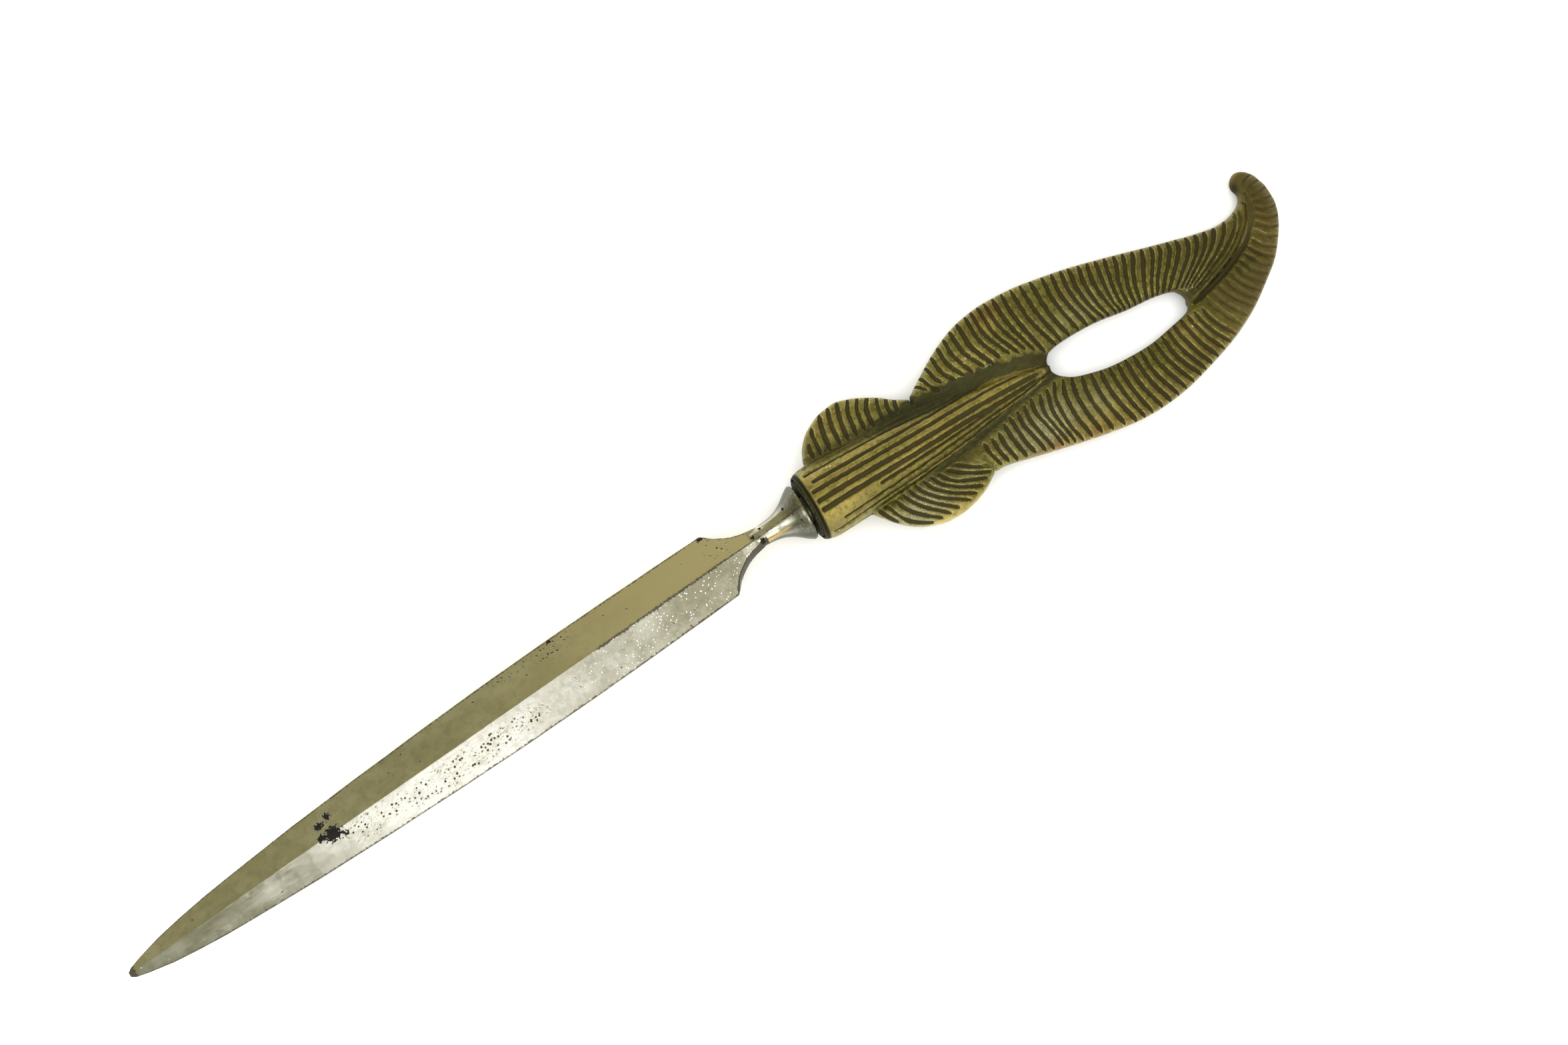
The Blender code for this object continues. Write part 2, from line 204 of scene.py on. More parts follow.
# Grooves between barbs: a row is x, y, x, y and so on along one groove
UPPER_VANE_GROOVES = (
    (33.7, 6.4, 34.1, 5.6, 34.9, 4.5),
    (35.3, 7.3, 35.9, 4.5, 36.8, 3),
    (37.4, 8.4, 37.4, 5.5, 38, 4),
    (39.5, 9.4, 39.1, 6.5, 39.5, 4.5, 40.5, 3),
    (41.5, 10.2, 41, 7.5, 41.1, 5.5, 42.3, 2.8),
    (43.4, 10.8, 42.9, 8.5, 42.9, 6, 43.9, 2.3),
    (45.2, 11.4, 44.75, 9, 44.75, 6, 46.3, 2),
    (47.1, 11.7, 46.6, 8.5, 46.5, 6, 48, 1.5),
    (49.2, 12.1, 48.6, 9, 48.5, 6, 49.8, 1.6),
    (50.6, 12.2, 50, 9, 50.1, 6, 51.6, 1.3),
    (52.1, 12.2, 51.6, 8.5, 51.6, 5.5, 53.2, 0.3),
    (53.6, 12, 53.1, 8.3, 53.25, 5.5, 54.5, 0.3),
    (55.4, 11.9, 54.8, 8.4, 54.9, 4.5, 55.9, -0.8),
    (57.3, 11.6, 56.6, 8.5, 56.5, 5.5, 56.75, 2.5, 57.4, -2.2),
    (59.2, 11.3, 58.7, 8.5, 58.5, 4, 59.3, 0, 59.9, -2.2),
    (61.1, 11, 60.6, 8, 60.4, 4, 61.2, -2.2),
    (63.1, 10.4, 62.6, 7.5, 62.3, 5, 62.3, 2, 63.1, -2.2),
    (65.4, 9.9, 64.7, 7, 64.4, 5, 64.5, 1.5, 65.1, -2.3),
    (67.3, 9.3, 66.5, 7, 66.1, 5, 66.2, 2, 67, -2.6),
    (69.1, 8.8, 68.2, 6.5, 67.8, 4.5, 67.9, 1, 68.8, -2.9),
    (70.5, 8.4, 69.8, 6, 69.3, 4, 69.4, 0, 70.4, -3.2),
    (72.4, 7.8, 71.5, 5.6, 70.9, 3.6, 70.8, -0.5, 71.5, -3.4),
    (74.1, 7.2, 73.2, 5.3, 72.4, 2.5, 72.4, -1, 72.9, -3.7),
    (75.6, 6.7, 74.8, 4.6, 73.9, 1.5, 73.5, -1.5, 73.8, -3.9),
    (77.3, 6.1, 76.3, 4, 75.2, 1, 74.7, -1.5, 74.7, -4.1),
    (79.1, 5.5, 77.9, 3, 76.7, 1, 75.9, -1.5, 75.7, -4.3),
    (80.7, 4.9, 79.4, 2.5, 78.2, 0.5, 77.2, -2, 76.9, -4.5),
    (82.5, 4.2, 81.3, 2.4, 79.7, 0.3, 78.5, -2.3, 78, -4.7),
    (84.2, 3.6, 83, 1.5, 81.4, -0.6, 80.1, -2.8, 79.3, -4.9),
    (85.8, 3, 84.9, 1, 83.2, -1, 81.6, -3, 80.5, -5.1),
    (87.2, 2.5, 86.6, 0.8, 84.9, -1, 83, -3, 81.5, -5.3),
    (88.9, 1.9, 88.3, 0.2, 86.5, -1.7, 84.6, -3.4, 82.6, -5.6),
    (90.5, 1.3, 89.9, -0.5, 88.1, -2.3, 85.9, -4.1, 83.8, -5.9),
    (92.4, 0.7, 91.7, -1, 90.2, -2.8, 87.8, -4.5, 85, -6.5),
    (94.2, 0.1, 93.4, -1.6, 91.8, -3.3, 89, -5.1, 85.8, -7),
    (96, -0.4, 95.1, -1.9, 93.4, -3.6, 90.3, -5.4, 86.5, -7.3),
    (98, -0.8, 97.1, -2, 95.3, -3.7, 91.7, -5.7, 87, -7.7),
    (100.3, -1, 99.4, -2.3, 97.3, -4.1, 93.5, -6.1, 87.6, -8.1),
    (103, -0.6, 102.2, -2.1, 100.3, -4, 96.6, -6, 91.4, -7.7, 88, -8.6),
)
LOWER_VANE_GROOVES = (
    (36, -9.9, 36.3, -12, 37, -14.4),
    (37.7, -9.8, 37.6, -12, 38.2, -14.6),
    (39.4, -10, 39.25, -12.5, 39.7, -14.9),
    (41.1, -9.8, 40.8, -12.3, 41.2, -15.6),
    (42.9, -9, 42.6, -11.5, 42.75, -14.25, 43, -16),
    (44.5, -8.5, 44.25, -11.5, 44.25, -14.25, 44.7, -16.4),
    (46.3, -8.5, 45.75, -11, 46, -13.5, 46.5, -17.2),
    (48, -8.3, 47.3, -11, 47.5, -14.25, 48, -17.8),
    (49.8, -8, 49, -10.5, 49.25, -13.5, 49.75, -18.2),
    (51.7, -8.2, 50.4, -11.25, 50.4, -14.25, 50.9, -18.5),
    (53.3, -8.3, 51.9, -11.5, 51.6, -14.25, 52, -19),
    (55.3, -7.9, 53.6, -10.5, 53, -13.5, 52.8, -16.5, 53.4, -19.6),
    (57, -8.4, 55.5, -11, 54.9, -13.75, 54.8, -16.75, 55.2, -20),
    (58.6, -9, 57.4, -11.5, 56.9, -14, 56.8, -17, 57.1, -20.4),
    (60.4, -9.8, 59.3, -12.2, 58.85, -15, 58.9, -18, 59.2, -21.2),
    (62, -10.5, 61.2, -13, 60.9, -16, 61, -18.5, 61.5, -21.6),
    (63.8, -11, 63.2, -13, 62.8, -16, 63, -19, 63.7, -22.4),
    (65.5, -11.4, 64.9, -14, 64.7, -17, 64.9, -20, 65.5, -22.8),
    (67.2, -11.8, 66.7, -14, 66.4, -17, 66.6, -20, 67.2, -22.9),
    (68.8, -12, 68.3, -15, 68.15, -17.5, 68.5, -20, 69.3, -23.1),
    (70.5, -12.2, 70.1, -15, 70, -17.5, 70.5, -20.5, 71.3, -23.1),
    (72.2, -12.3, 71.7, -15, 71.7, -17.5, 72.3, -20.5, 73.2, -23),
    (73.8, -12.3, 73.4, -14.5, 73.5, -17, 74.1, -19.8, 75.1, -22.8),
    (75.4, -12.4, 75.1, -15, 75.3, -17.5, 76, -20.2, 77, -22.6),
    (77.1, -12.4, 76.8, -15, 77, -17.5, 77.8, -20, 78.9, -22.3),
    (78.7, -12.1, 78.4, -14.5, 78.6, -17, 79.3, -19.5, 80.3, -22),
    (80.3, -11.8, 80, -14, 80.3, -17, 80.9, -19.5, 81.9, -21.7),
    (82, -11.7, 81.8, -14, 82.1, -17, 82.8, -19.5, 83.7, -21.3),
    (83.5, -11.8, 83.4, -14, 83.8, -17, 84.6, -19.2, 85.5, -20.9),
    (84.9, -12.1, 84.9, -14.5, 85.4, -17, 86.3, -19, 87.3, -20.5),
    (86.4, -12.2, 86.4, -14.2, 87.2, -17, 88.9, -20),
    (88.3, -10.9, 88.6, -13.5, 89.3, -16, 90.8, -19.4),
    (90, -11, 90.3, -13, 91, -15.2, 92.8, -18.5),
    (91.7, -10.7, 92.1, -12.8, 92.9, -14.8, 94.8, -17.6),
    (93.4, -10.4, 93.8, -12.5, 94.6, -14.5, 96.3, -16.9),
    (95, -10, 95.3, -11.8, 96.2, -13.8, 97.9, -16.1),
    (96.5, -9.6, 96.8, -11.2, 97.7, -13, 99.5, -15.2),
    (97.9, -9.1, 98.3, -10.7, 99.2, -12.4, 101.1, -14.2),
    (99.3, -8.5, 99.9, -10, 100.9, -11.8, 102.6, -13.2),
    (100.7, -7.7, 101.2, -9.2, 102.2, -10.7, 104.1, -12.2),
    (102.2, -7, 102.7, -8.3, 103.7, -9.7, 105.7, -10.9),
    (103.7, -5.9, 104.2, -7, 105.2, -8.4, 107.2, -9.3),
    (104.8, -4.6, 105.4, -5.8, 106.6, -7.1, 108.6, -7.8),
    (105.7, -3.5, 106.7, -4.8, 107.9, -5.7, 109.9, -6),
    (106.5, -2.4, 107.6, -3.4, 109, -4, 110.8, -4.2),
    (107, -1.2, 108.2, -1.8, 109.5, -2.2, 111.2, -2.3),
    (107.3, 0, 108.4, -0.3, 109.6, -0.4, 111.3, -0.3),
    (107.6, 1.3, 108.7, 1.5, 110.9, 1.6),
    (107.4, 2.7, 108.6, 3.1, 110.3, 3.3),
)
UPPER_LOBE_GROOVES = (
    (10.6, 6, 10.7, 7.4, 11.2, 8.6),
    (12.1, 5.8, 12.4, 7.9, 12.7, 9.4, 13.4, 10.8),
    (14, 5.5, 14.3, 7.5, 14.9, 9.6, 16, 12),
    (16.1, 5.3, 16.5, 8.5, 17, 10.1, 18.1, 12.3),
    (17.8, 5.2, 18.4, 8.3, 19, 10.1, 20.1, 12.2),
    (19.65, 5, 20.2, 8.1, 20.7, 9.6, 22.2, 11.6),
    (21.4, 4.9, 21.8, 7.7, 22.5, 9.2, 23.9, 10.9),
    (23.1, 4.7, 23.4, 7.1, 24.2, 8.6, 25.4, 9.8),
    (25.2, 4.4, 25.4, 6.2, 25.9, 7.5, 26.8, 8.9),
    (26.95, 4.3, 27.15, 6.2, 28.1, 7.8),
    (28.35, 4.3, 28.6, 5.7, 29.5, 6.9),
)
LOWER_LOBE_GROOVES = (
    (14.6, -8.6, 15.3, -10.4, 16.4, -12.4),
    (16.3, -8.9, 16.8, -11, 17.9, -13.2, 19.65, -14.9, 21.6, -16.2),
    (18.2, -8.9, 18.7, -11, 19.65, -12.7, 21.2, -14.5, 23.4, -16.5),
    (20, -8.8, 20.3, -10.35, 21.4, -12.5, 22.9, -14.3, 25.2, -16.7),
    (21.4, -8.8, 21.7, -10.35, 22.7, -12.1, 24.2, -14, 27, -16.7),
    (22.9, -8.8, 23.2, -10.35, 24.4, -12.3, 26, -14, 29.6, -16.8),
    (24.5, -9.1, 25.1, -11, 26.4, -12.7, 28.1, -14.3, 31.3, -16.4),
    (26.1, -9.3, 26.8, -11.2, 28.1, -12.7, 30.1, -14.3, 33, -15.9),
    (27.5, -9.6, 28.8, -11.9, 30.5, -13.2, 34.5, -15.2),
    (29.2, -9.8, 31, -11.7, 33.4, -13.4, 35.8, -14.6),
    (31, -9.8, 33.6, -12.2, 36.4, -13.8),
)
GROOVE_DEPTH = 0.34
RIB_ROUNDING = 0.34
GROOVE_SHARE = 0.27
GROOVE_WIDTH = 0.82
RACHIS_GROOVE_WIDTH = 0.95
RACHIS_HEIGHT = 2.45
RACHIS_DROP = 0.25
RACHIS_WIDTH = 1.0
GROOVE_POINTS = 24
GROOVE_REACH = 2.0
WIDTH_VARIES = (0.85, 1.15)
DEPTH_VARIES = (0.85, 1.0)
# Shares of a groove's length between which it has its full width
FULL_WIDTH_FROM = 0.12
FULL_WIDTH_TO = 0.92

# Half thickness of the leaves at their outer edge, along their swelling middle, at their root
LEAF_OUTER = 0.80
LEAF_MIDDLE = 2.40
LEAF_INNER = 1.20
LEAF_FILLET = 0.25
SWELL_POWER = 0.7
FULL_SWELL_WIDTH = 3.4
CURL_THINNING = 0.24
CURL_RUN = (92.0, 104.0)
RIM_RADIUS = 0.62
PLAN_MARGIN = 0.03
REACH = 6.0

# Casting unevenness: height, pitch and seed of each wave, and what it takes off on average
CASTING_WAVES = ((0.05, 1.3, 21), (0.07, 4.1, 22))
CASTING_SHRINK = 0.09
NOISE_VALUES = 4096

# Grid on which the handle's distance field is worked out, and how far from the surface it is kept
VOXEL = 0.2
BAND_VOXELS = 3.0
GRID_LOW = (3.6, -24.4, -7.8)
GRID_HIGH = (112.6, 13.8, 7.8)


# ---- Curves and fields ----

def smooth_line(points, step=0.4, closed=False):
    """Points along a Catmull-Rom curve through the given ones."""
    given = np.array(points, float)
    if closed:
        given = np.vstack([given[-1:], given, given[:2]])
    else:
        given = np.vstack([2 * given[0] - given[1], given, 2 * given[-1] - given[-2]])
    pieces = []
    for a, b, c, d in zip(given, given[1:], given[2:], given[3:]):
        count = max(2, int(math.ceil(np.linalg.norm(c - b) / step)))
        t = np.arange(count)[:, None] / count
        pieces.append(0.5 * (2 * b + (c - a) * t + (2 * a - 5 * b + 4 * c - d) * t ** 2
                             + (3 * b - a - 3 * c + d) * t ** 3))
    if not closed:
        pieces.append(given[-2:-1])
    return np.vstack(pieces)


def distance_to_line(x, y, line, closed=False):
    """Distance from each place to a polyline, and how far along it (0 to 1) the nearest point is."""
    ends = np.vstack([line[1:], line[:1]]) if closed else line[1:]
    starts = line if closed else line[:-1]
    lengths = np.linalg.norm(ends - starts, axis=1)
    travel = np.concatenate([[0.0], np.cumsum(lengths)])
    best = np.full(x.shape, 1e9)
    along = np.zeros(x.shape)
    for start, end, length, done in zip(starts, ends, lengths, travel):
        way = end - start
        t = ((x - start[0]) * way[0] + (y - start[1]) * way[1]) / max(length * length, 1e-12)
        t = np.clip(t, 0.0, 1.0)
        gap = (x - start[0] - t * way[0]) ** 2 + (y - start[1] - t * way[1]) ** 2
        nearer = gap < best
        best = np.where(nearer, gap, best)
        along = np.where(nearer, done + t * length, along)
    return np.sqrt(best), along / travel[-1]


def inside(x, y, line):
    """True for each place within a closed polyline."""
    within = np.zeros(x.shape, bool)
    ends = np.vstack([line[1:], line[:1]])
    for (x0, y0), (x1, y1) in zip(line, ends):
        if y0 == y1:
            continue
        spans = (y0 > y) != (y1 > y)
        within ^= spans & (x < (x1 - x0) * (y - y0) / (y1 - y0) + x0)
    return within


def signed_distance(x, y, line):
    """Distance to a closed polyline, negative inside it."""
    gap, _ = distance_to_line(x, y, line, closed=True)
    return np.where(inside(x, y, line), -gap, gap)


def ramp(low, high, value):
    """Smooth step from 0 at low to 1 at high."""
    t = np.clip((value - low) / (high - low), 0.0, 1.0)
    return t * t * (3 - 2 * t)


def read_path(path, along):
    """Value at each position of a path given as pairs of position and value."""
    return np.interp(along, *np.array(path).T)


def lattice_noise(coordinates, pitch, seed):
    """Smooth seeded noise between -1 and 1 with the given pitch, in any number of dimensions."""
    generator = np.random.default_rng(seed)
    table = generator.uniform(-1.0, 1.0, NOISE_VALUES)
    cells = [np.floor(c / pitch).astype(np.int64) for c in coordinates]
    shares = [c / pitch - cell for c, cell in zip(coordinates, cells)]
    shares = [t * t * (3 - 2 * t) for t in shares]
    total = 0.0
    primes = (73856093, 19349663, 83492791)
    for corner in range(2 ** len(cells)):
        weight = 1.0
        key = 0
        for axis, (cell, t) in enumerate(zip(cells, shares)):
            far = (corner >> axis) & 1
            weight = weight * (t if far else 1 - t)
            key = key ^ ((cell + far) * primes[axis])
        total = total + weight * table[key % NOISE_VALUES]
    return total


def resampled(line, count):
    """The same polyline with evenly spaced points."""
    steps = np.linalg.norm(np.diff(line, axis=0), axis=1)
    travel = np.concatenate([[0.0], np.cumsum(steps)])
    at = np.linspace(0.0, travel[-1], count)
    return np.column_stack([np.interp(at, travel, line[:, k]) for k in range(2)])


def spacing(lines):
    """For each groove, how far its points lie from the nearest neighbouring groove."""
    gaps = []
    for k, line in enumerate(lines):
        gap = np.full(len(line), 1e9)
        for other in lines[max(k - 1, 0):k] + lines[k + 1:k + 2]:
            away, _ = distance_to_line(line[:, 0], line[:, 1], other)
            gap = np.minimum(gap, away)
        gaps.append(gap)
    return gaps


def groove_lines(rows):
    """Smooth groove centre lines from rows of x, y, x, y and so on."""
    return [resampled(smooth_line(np.reshape(row, (-1, 2))), GROOVE_POINTS) for row in rows]


def carve(x, y, lines, width, seed):
    """How deep each place lies in the grooves, from 0 to 1, and the wide shallow dip that rounds
    the barbs beside them. The grooves taper at their ends, and are worn softer on the curl and
    along the far half of the lower vane."""
    depth = np.zeros(x.shape)
    shallow = np.zeros(x.shape)
    generator = np.random.default_rng(seed)
    pitch = x[1, 0] - x[0, 0]
    reach = int(GROOVE_REACH / pitch)
    for line, room in zip(lines, spacing(lines)):
        wide = width * generator.uniform(*WIDTH_VARIES)
        full = generator.uniform(*DEPTH_VARIES)
        low = np.floor((line.min(0) - (x[0, 0], y[0, 0])) / pitch).astype(int) - reach
        high = np.ceil((line.max(0) - (x[0, 0], y[0, 0])) / pitch).astype(int) + reach
        low = np.maximum(low, 0)
        window = (slice(low[0], high[0]), slice(low[1], high[1]))
        here_x, here_y = x[window], y[window]
        if here_x.size == 0:
            continue
        gap, along = distance_to_line(here_x, here_y, line)
        taper = ramp(0.0, FULL_WIDTH_FROM, along) * ramp(1.0, FULL_WIDTH_TO, along)
        half = 0.5 * wide * (0.55 + 0.45 * taper)
        half = half * (1 + 0.16 * lattice_noise((here_x, here_y), 0.9, 11))
        room_here = np.interp(along, np.linspace(0.0, 1.0, len(line)), room)
        half = np.minimum(half, GROOVE_SHARE * room_here)
        curl = 1 - 0.45 * ramp(97.0, 105.0, here_x)
        far_half = 1 - 0.5 * ramp(81.0, 91.0, here_x) * ramp(-9.0, -12.0, here_y)
        soften = np.minimum(curl, far_half)
        cut = full * ramp(1.30, 0.55, gap / half) * soften
        rib = np.clip(0.5 * room_here, 0.35, 1.0)
        dip = RIB_ROUNDING * rib * np.clip(1 - gap / rib, 0.0, 1.0) ** 2 * taper * soften
        depth[window] = np.maximum(depth[window], cut)
        shallow[window] = np.maximum(shallow[window], dip)
    return depth, shallow


def smooth_union(a, b, blend):
    """Union of two distance fields with a fillet of about the given size."""
    h = np.clip(0.5 + 0.5 * (b - a) / blend, 0.0, 1.0)
    return b + (a - b) * h - blend * h * (1 - h)


# ---- Handle ----

def leaf_field(x, y, outline, edge, roots):
    """Signed distance to a leaf's plan, and its half thickness at each place."""
    plan = signed_distance(x, y, outline)
    to_edge, _ = distance_to_line(x, y, edge)
    to_root = np.full(x.shape, REACH)
    for line, is_closed in roots:
        gap, _ = distance_to_line(x, y, line, closed=is_closed)
        to_root = np.minimum(to_root, gap)
    share = to_edge / np.maximum(to_edge + to_root, 1e-6)
    rim = LEAF_OUTER + (LEAF_INNER - LEAF_OUTER) * share
    full = ramp(0.0, FULL_SWELL_WIDTH, to_edge + to_root)
    swell = np.sin(math.pi * np.clip(share, 0, 1)) ** SWELL_POWER
    thinner = CURL_THINNING * ramp(*CURL_RUN, x)
    return plan, rim + (LEAF_MIDDLE - rim) * swell * full - thinner


def stem_coordinates(x, y):
    """Position along the socket axis and across it."""
    turn = math.radians(SOCKET_ANGLE)
    ahead_x, ahead_y = x - NECK_POINT[0], y - NECK_POINT[1]
    along = ahead_x * math.cos(turn) + ahead_y * math.sin(turn)
    across = -ahead_x * math.sin(turn) + ahead_y * math.cos(turn)
    return along, across


def stem_size(along):
    """Half width and half height of the stem at each position along the socket axis."""
    position, width, height = np.array(STEM_STATIONS).T
    return np.interp(along, position, width), np.interp(along, position, height)


def stem_angle(across, up, width, height):
    """Degrees round the stem from its top or underside towards +Y."""
    return np.degrees(np.arctan2(across / width, np.abs(up) / height))


def flute_cut(along, across, up, width, height):
    """How deep each place on the stem lies in its flutes, from 0 to 1."""
    angle = stem_angle(across, up, width, height)
    cut = np.zeros(angle.shape, np.float32)
    for number, (wide_near, wide_far, *path) in enumerate(FLUTES):
        path = np.array(path, float)
        first, last = path[0, 0], path[-1, 0]
        gap = np.abs(angle - np.interp(along, path[:, 0], path[:, 1])) * math.pi / 180 * width
        wander = 1 + 0.12 * lattice_noise((along,), 2.3, 100 + number)
        half = 0.5 * np.interp(along, (first, last), (wide_near, wide_far)) * wander
        run = ramp(first, first + FLUTE_START, along) * ramp(last, last - FLUTE_RUNOUT, along)
        cut = np.maximum(cut, ramp(1.30, 0.65, gap / half) * run)
    return cut


class Plan:
    """The handle's plan fields on a square grid, for the solid and for its colouring."""

    def __init__(self, pitch):
        self.pitch = pitch
        self.x_values = np.arange(GRID_LOW[0], GRID_HIGH[0], pitch)
        self.y_values = np.arange(GRID_LOW[1], GRID_HIGH[1], pitch)
        self.x, self.y = np.meshgrid(self.x_values, self.y_values, indexing="ij")
        self.hole = smooth_line(HOLE, closed=True)
        top_edge = smooth_line(STEM_EDGE_TOP)
        low_edge = smooth_line(STEM_EDGE_LOW)
        self.leaves = [
            self.vanes(top_edge, low_edge),
            self.lobe(UPPER_LOBE, UPPER_LOBE_ROOT, top_edge, UPPER_LOBE_GROOVES, 6),
            self.lobe(LOWER_LOBE, LOWER_LOBE_ROOT, low_edge, LOWER_LOBE_GROOVES, 7),
        ]
        waves = [height * lattice_noise((self.x, self.y), *wave) for height, *wave in CASTING_WAVES]
        self.unevenness = sum(waves) - CASTING_SHRINK
        self.groove = self.top_groove()

    def vanes(self, top_edge, low_edge):
        """Outline, half thickness and grooves of the two vanes, one leaf with the hole in it."""
        x, y = self.x, self.y
        edge = smooth_line(VANE_TOP + VANE_LOW)
        rachis = smooth_line(RACHIS)
        roots = ((top_edge, False), (low_edge, False), (self.hole, True), (rachis, False))
        plan, half = leaf_field(x, y, np.vstack([edge, VANE_ROOT]), edge, roots)
        plan = np.maximum(plan, -signed_distance(x, y, self.hole))
        to_rachis, along = distance_to_line(x, y, rachis)
        ridge = RACHIS_HEIGHT - RACHIS_DROP * along
        half = np.maximum(half, ridge * np.exp(-(to_rachis / RACHIS_WIDTH) ** 2))
        carved = [
            carve(x, y, groove_lines(UPPER_VANE_GROOVES), GROOVE_WIDTH, 3),
            carve(x, y, groove_lines(LOWER_VANE_GROOVES), GROOVE_WIDTH, 4),
            carve(x, y, [resampled(smooth_line(RACHIS_GROOVE), 40)], RACHIS_GROOVE_WIDTH, 5),
        ]
        grooves = np.maximum.reduce([cut for cut, _ in carved])
        return plan, half - np.maximum.reduce([dip for _, dip in carved]), grooves

    def lobe(self, curve, root, stem_line, rows, seed):
        """Outline, half thickness and grooves of one side lobe."""
        edge = smooth_line(curve)
        outline = np.vstack([edge, root])
        plan, half = leaf_field(self.x, self.y, outline, edge, ((stem_line, False),))
        grooves, dip = carve(self.x, self.y, groove_lines(rows), GROOVE_WIDTH, seed)
        return plan, half - dip, grooves

    def top_groove(self):
        """Groove depth of whichever leaf is on top at each place."""
        best = np.full(self.x.shape, -1e9)
        groove = np.zeros(self.x.shape)
        for plan, half, cut in self.leaves:
            level = np.where(plan < 0.3, half, -50.0 - plan)
            groove = np.where(level > best, cut, groove)
            best = np.maximum(best, level)
        return groove

    def at(self, field, places):
        """A plan field read between grid points at (n, 3) places."""
        column = (places[:, 0] - self.x_values[0]) / self.pitch
        row = (places[:, 1] - self.y_values[0]) / self.pitch
        i = np.clip(column.astype(int), 0, field.shape[0] - 2)
        j = np.clip(row.astype(int), 0, field.shape[1] - 2)
        s, t = column - i, row - j
        return ((field[i, j] * (1 - s) + field[i + 1, j] * s) * (1 - t)
                + (field[i, j + 1] * (1 - s) + field[i + 1, j + 1] * s) * t)


def leaf_solid(plan, half, groove, unevenness, up):
    """Distance field of one leaf: its plan thickened, with a rounded rim and carved grooves."""
    depth = GROOVE_DEPTH * groove * np.clip(half / 1.4, 0.3, 1.0)
    level = np.abs(up) - (half - depth + unevenness)[:, :, None]
    wall = plan[:, :, None] + RIM_RADIUS + PLAN_MARGIN + np.zeros_like(up)
    level = level + RIM_RADIUS
    outside = np.sqrt(np.maximum(level, 0) ** 2 + np.maximum(wall, 0) ** 2)
    return np.minimum(np.maximum(level, wall), 0) + outside - RIM_RADIUS


def handle_field(plan):
    """Distance field of the whole handle on a grid."""
    z_values = np.arange(GRID_LOW[2], GRID_HIGH[2], plan.pitch, dtype=np.float32)
    up = z_values[None, None, :]
    solid = None
    for outline, half, groove in plan.leaves:
        leaf = leaf_solid(outline.astype(np.float32), half.astype(np.float32),
                          groove.astype(np.float32), plan.unevenness.astype(np.float32), up)
        solid = leaf if solid is None else smooth_union(solid, leaf, LEAF_FILLET)
    along, across = stem_coordinates(plan.x, plan.y)
    width, height = stem_size(along)
    near = (along > MOUTH - 2 * plan.pitch) & (along < STEM_END + 1) & (np.abs(across) < STEM_REACH)
    flat = [values[near][:, None].astype(np.float32) for values in (along, across, width, height)]
    along_n, across_n, width_n, height_n = flat
    up_n = np.broadcast_to(z_values[None, :], (along_n.shape[0], z_values.size))
    round_ = np.sqrt((across_n / width_n) ** 2 + (up_n / height_n) ** 2)
    stem = (round_ - 1) * np.minimum(width_n, height_n)
    fade = np.clip(width_n / 5.0, 0.4, 1.0)
    cut = flute_cut(along_n, across_n, up_n, width_n, height_n)
    stem = stem + FLUTE_DEPTH * fade * cut + plan.unevenness[near][:, None] * 0.5
    stem = np.maximum(stem, np.maximum(MOUTH - along_n, along_n - STEM_END))
    joined = smooth_union(solid[near], stem, STEM_FILLET)
    radial = np.sqrt(across_n ** 2 + up_n ** 2)
    counterbore = np.maximum(radial - COUNTERBORE_RADIUS, along_n - COUNTERBORE_END)
    bore = np.maximum(radial - BORE_RADIUS, along_n - BORE_END)
    solid[near] = np.maximum(joined, -np.minimum(counterbore, bore))
    return solid


def polygons(field, pitch):
    """Closed surface where a distance field is zero, as points and quads."""
    grid = openvdb.FloatGrid(BAND_VOXELS)
    band = np.clip(field, -BAND_VOXELS * pitch, BAND_VOXELS * pitch).astype(np.float32)
    grid.copyFromArray(np.ascontiguousarray(band))
    points, triangles, quads = grid.convertToPolygons(isovalue=0.0, adaptivity=0.0)
    return np.asarray(points) * pitch + np.array(GRID_LOW), triangles, quads


def spot(places, x, y, radius_x, radius_y):
    """Soft round mask centred on a place in plan."""
    return np.exp(-((places[:, 0] - x) / radius_x) ** 2 - ((places[:, 1] - y) / radius_y) ** 2)


def spots(places, rows):
    """The strongest of several soft masks, rows of (x, y, radius x, radius y, strength)."""
    total = np.zeros(len(places))
    for x, y, radius_x, radius_y, strength in rows:
        total = np.maximum(total, strength * spot(places, x, y, radius_x, radius_y))
    return total


def store(mesh, name, values):
    attribute = mesh.attributes.new(name, "FLOAT", "POINT")
    attribute.data.foreach_set("value", np.asarray(values, np.float32))


def piece_from(name, mesh, material):
    """Object whose mesh, drawn in the tool frame, is moved to where the tool lies."""
    mesh.materials.append(material)
    mesh.transform(TOOL_TO_ROW)
    piece = bpy.data.objects.new(name, mesh)
    bpy.context.scene.collection.objects.link(piece)
    return piece
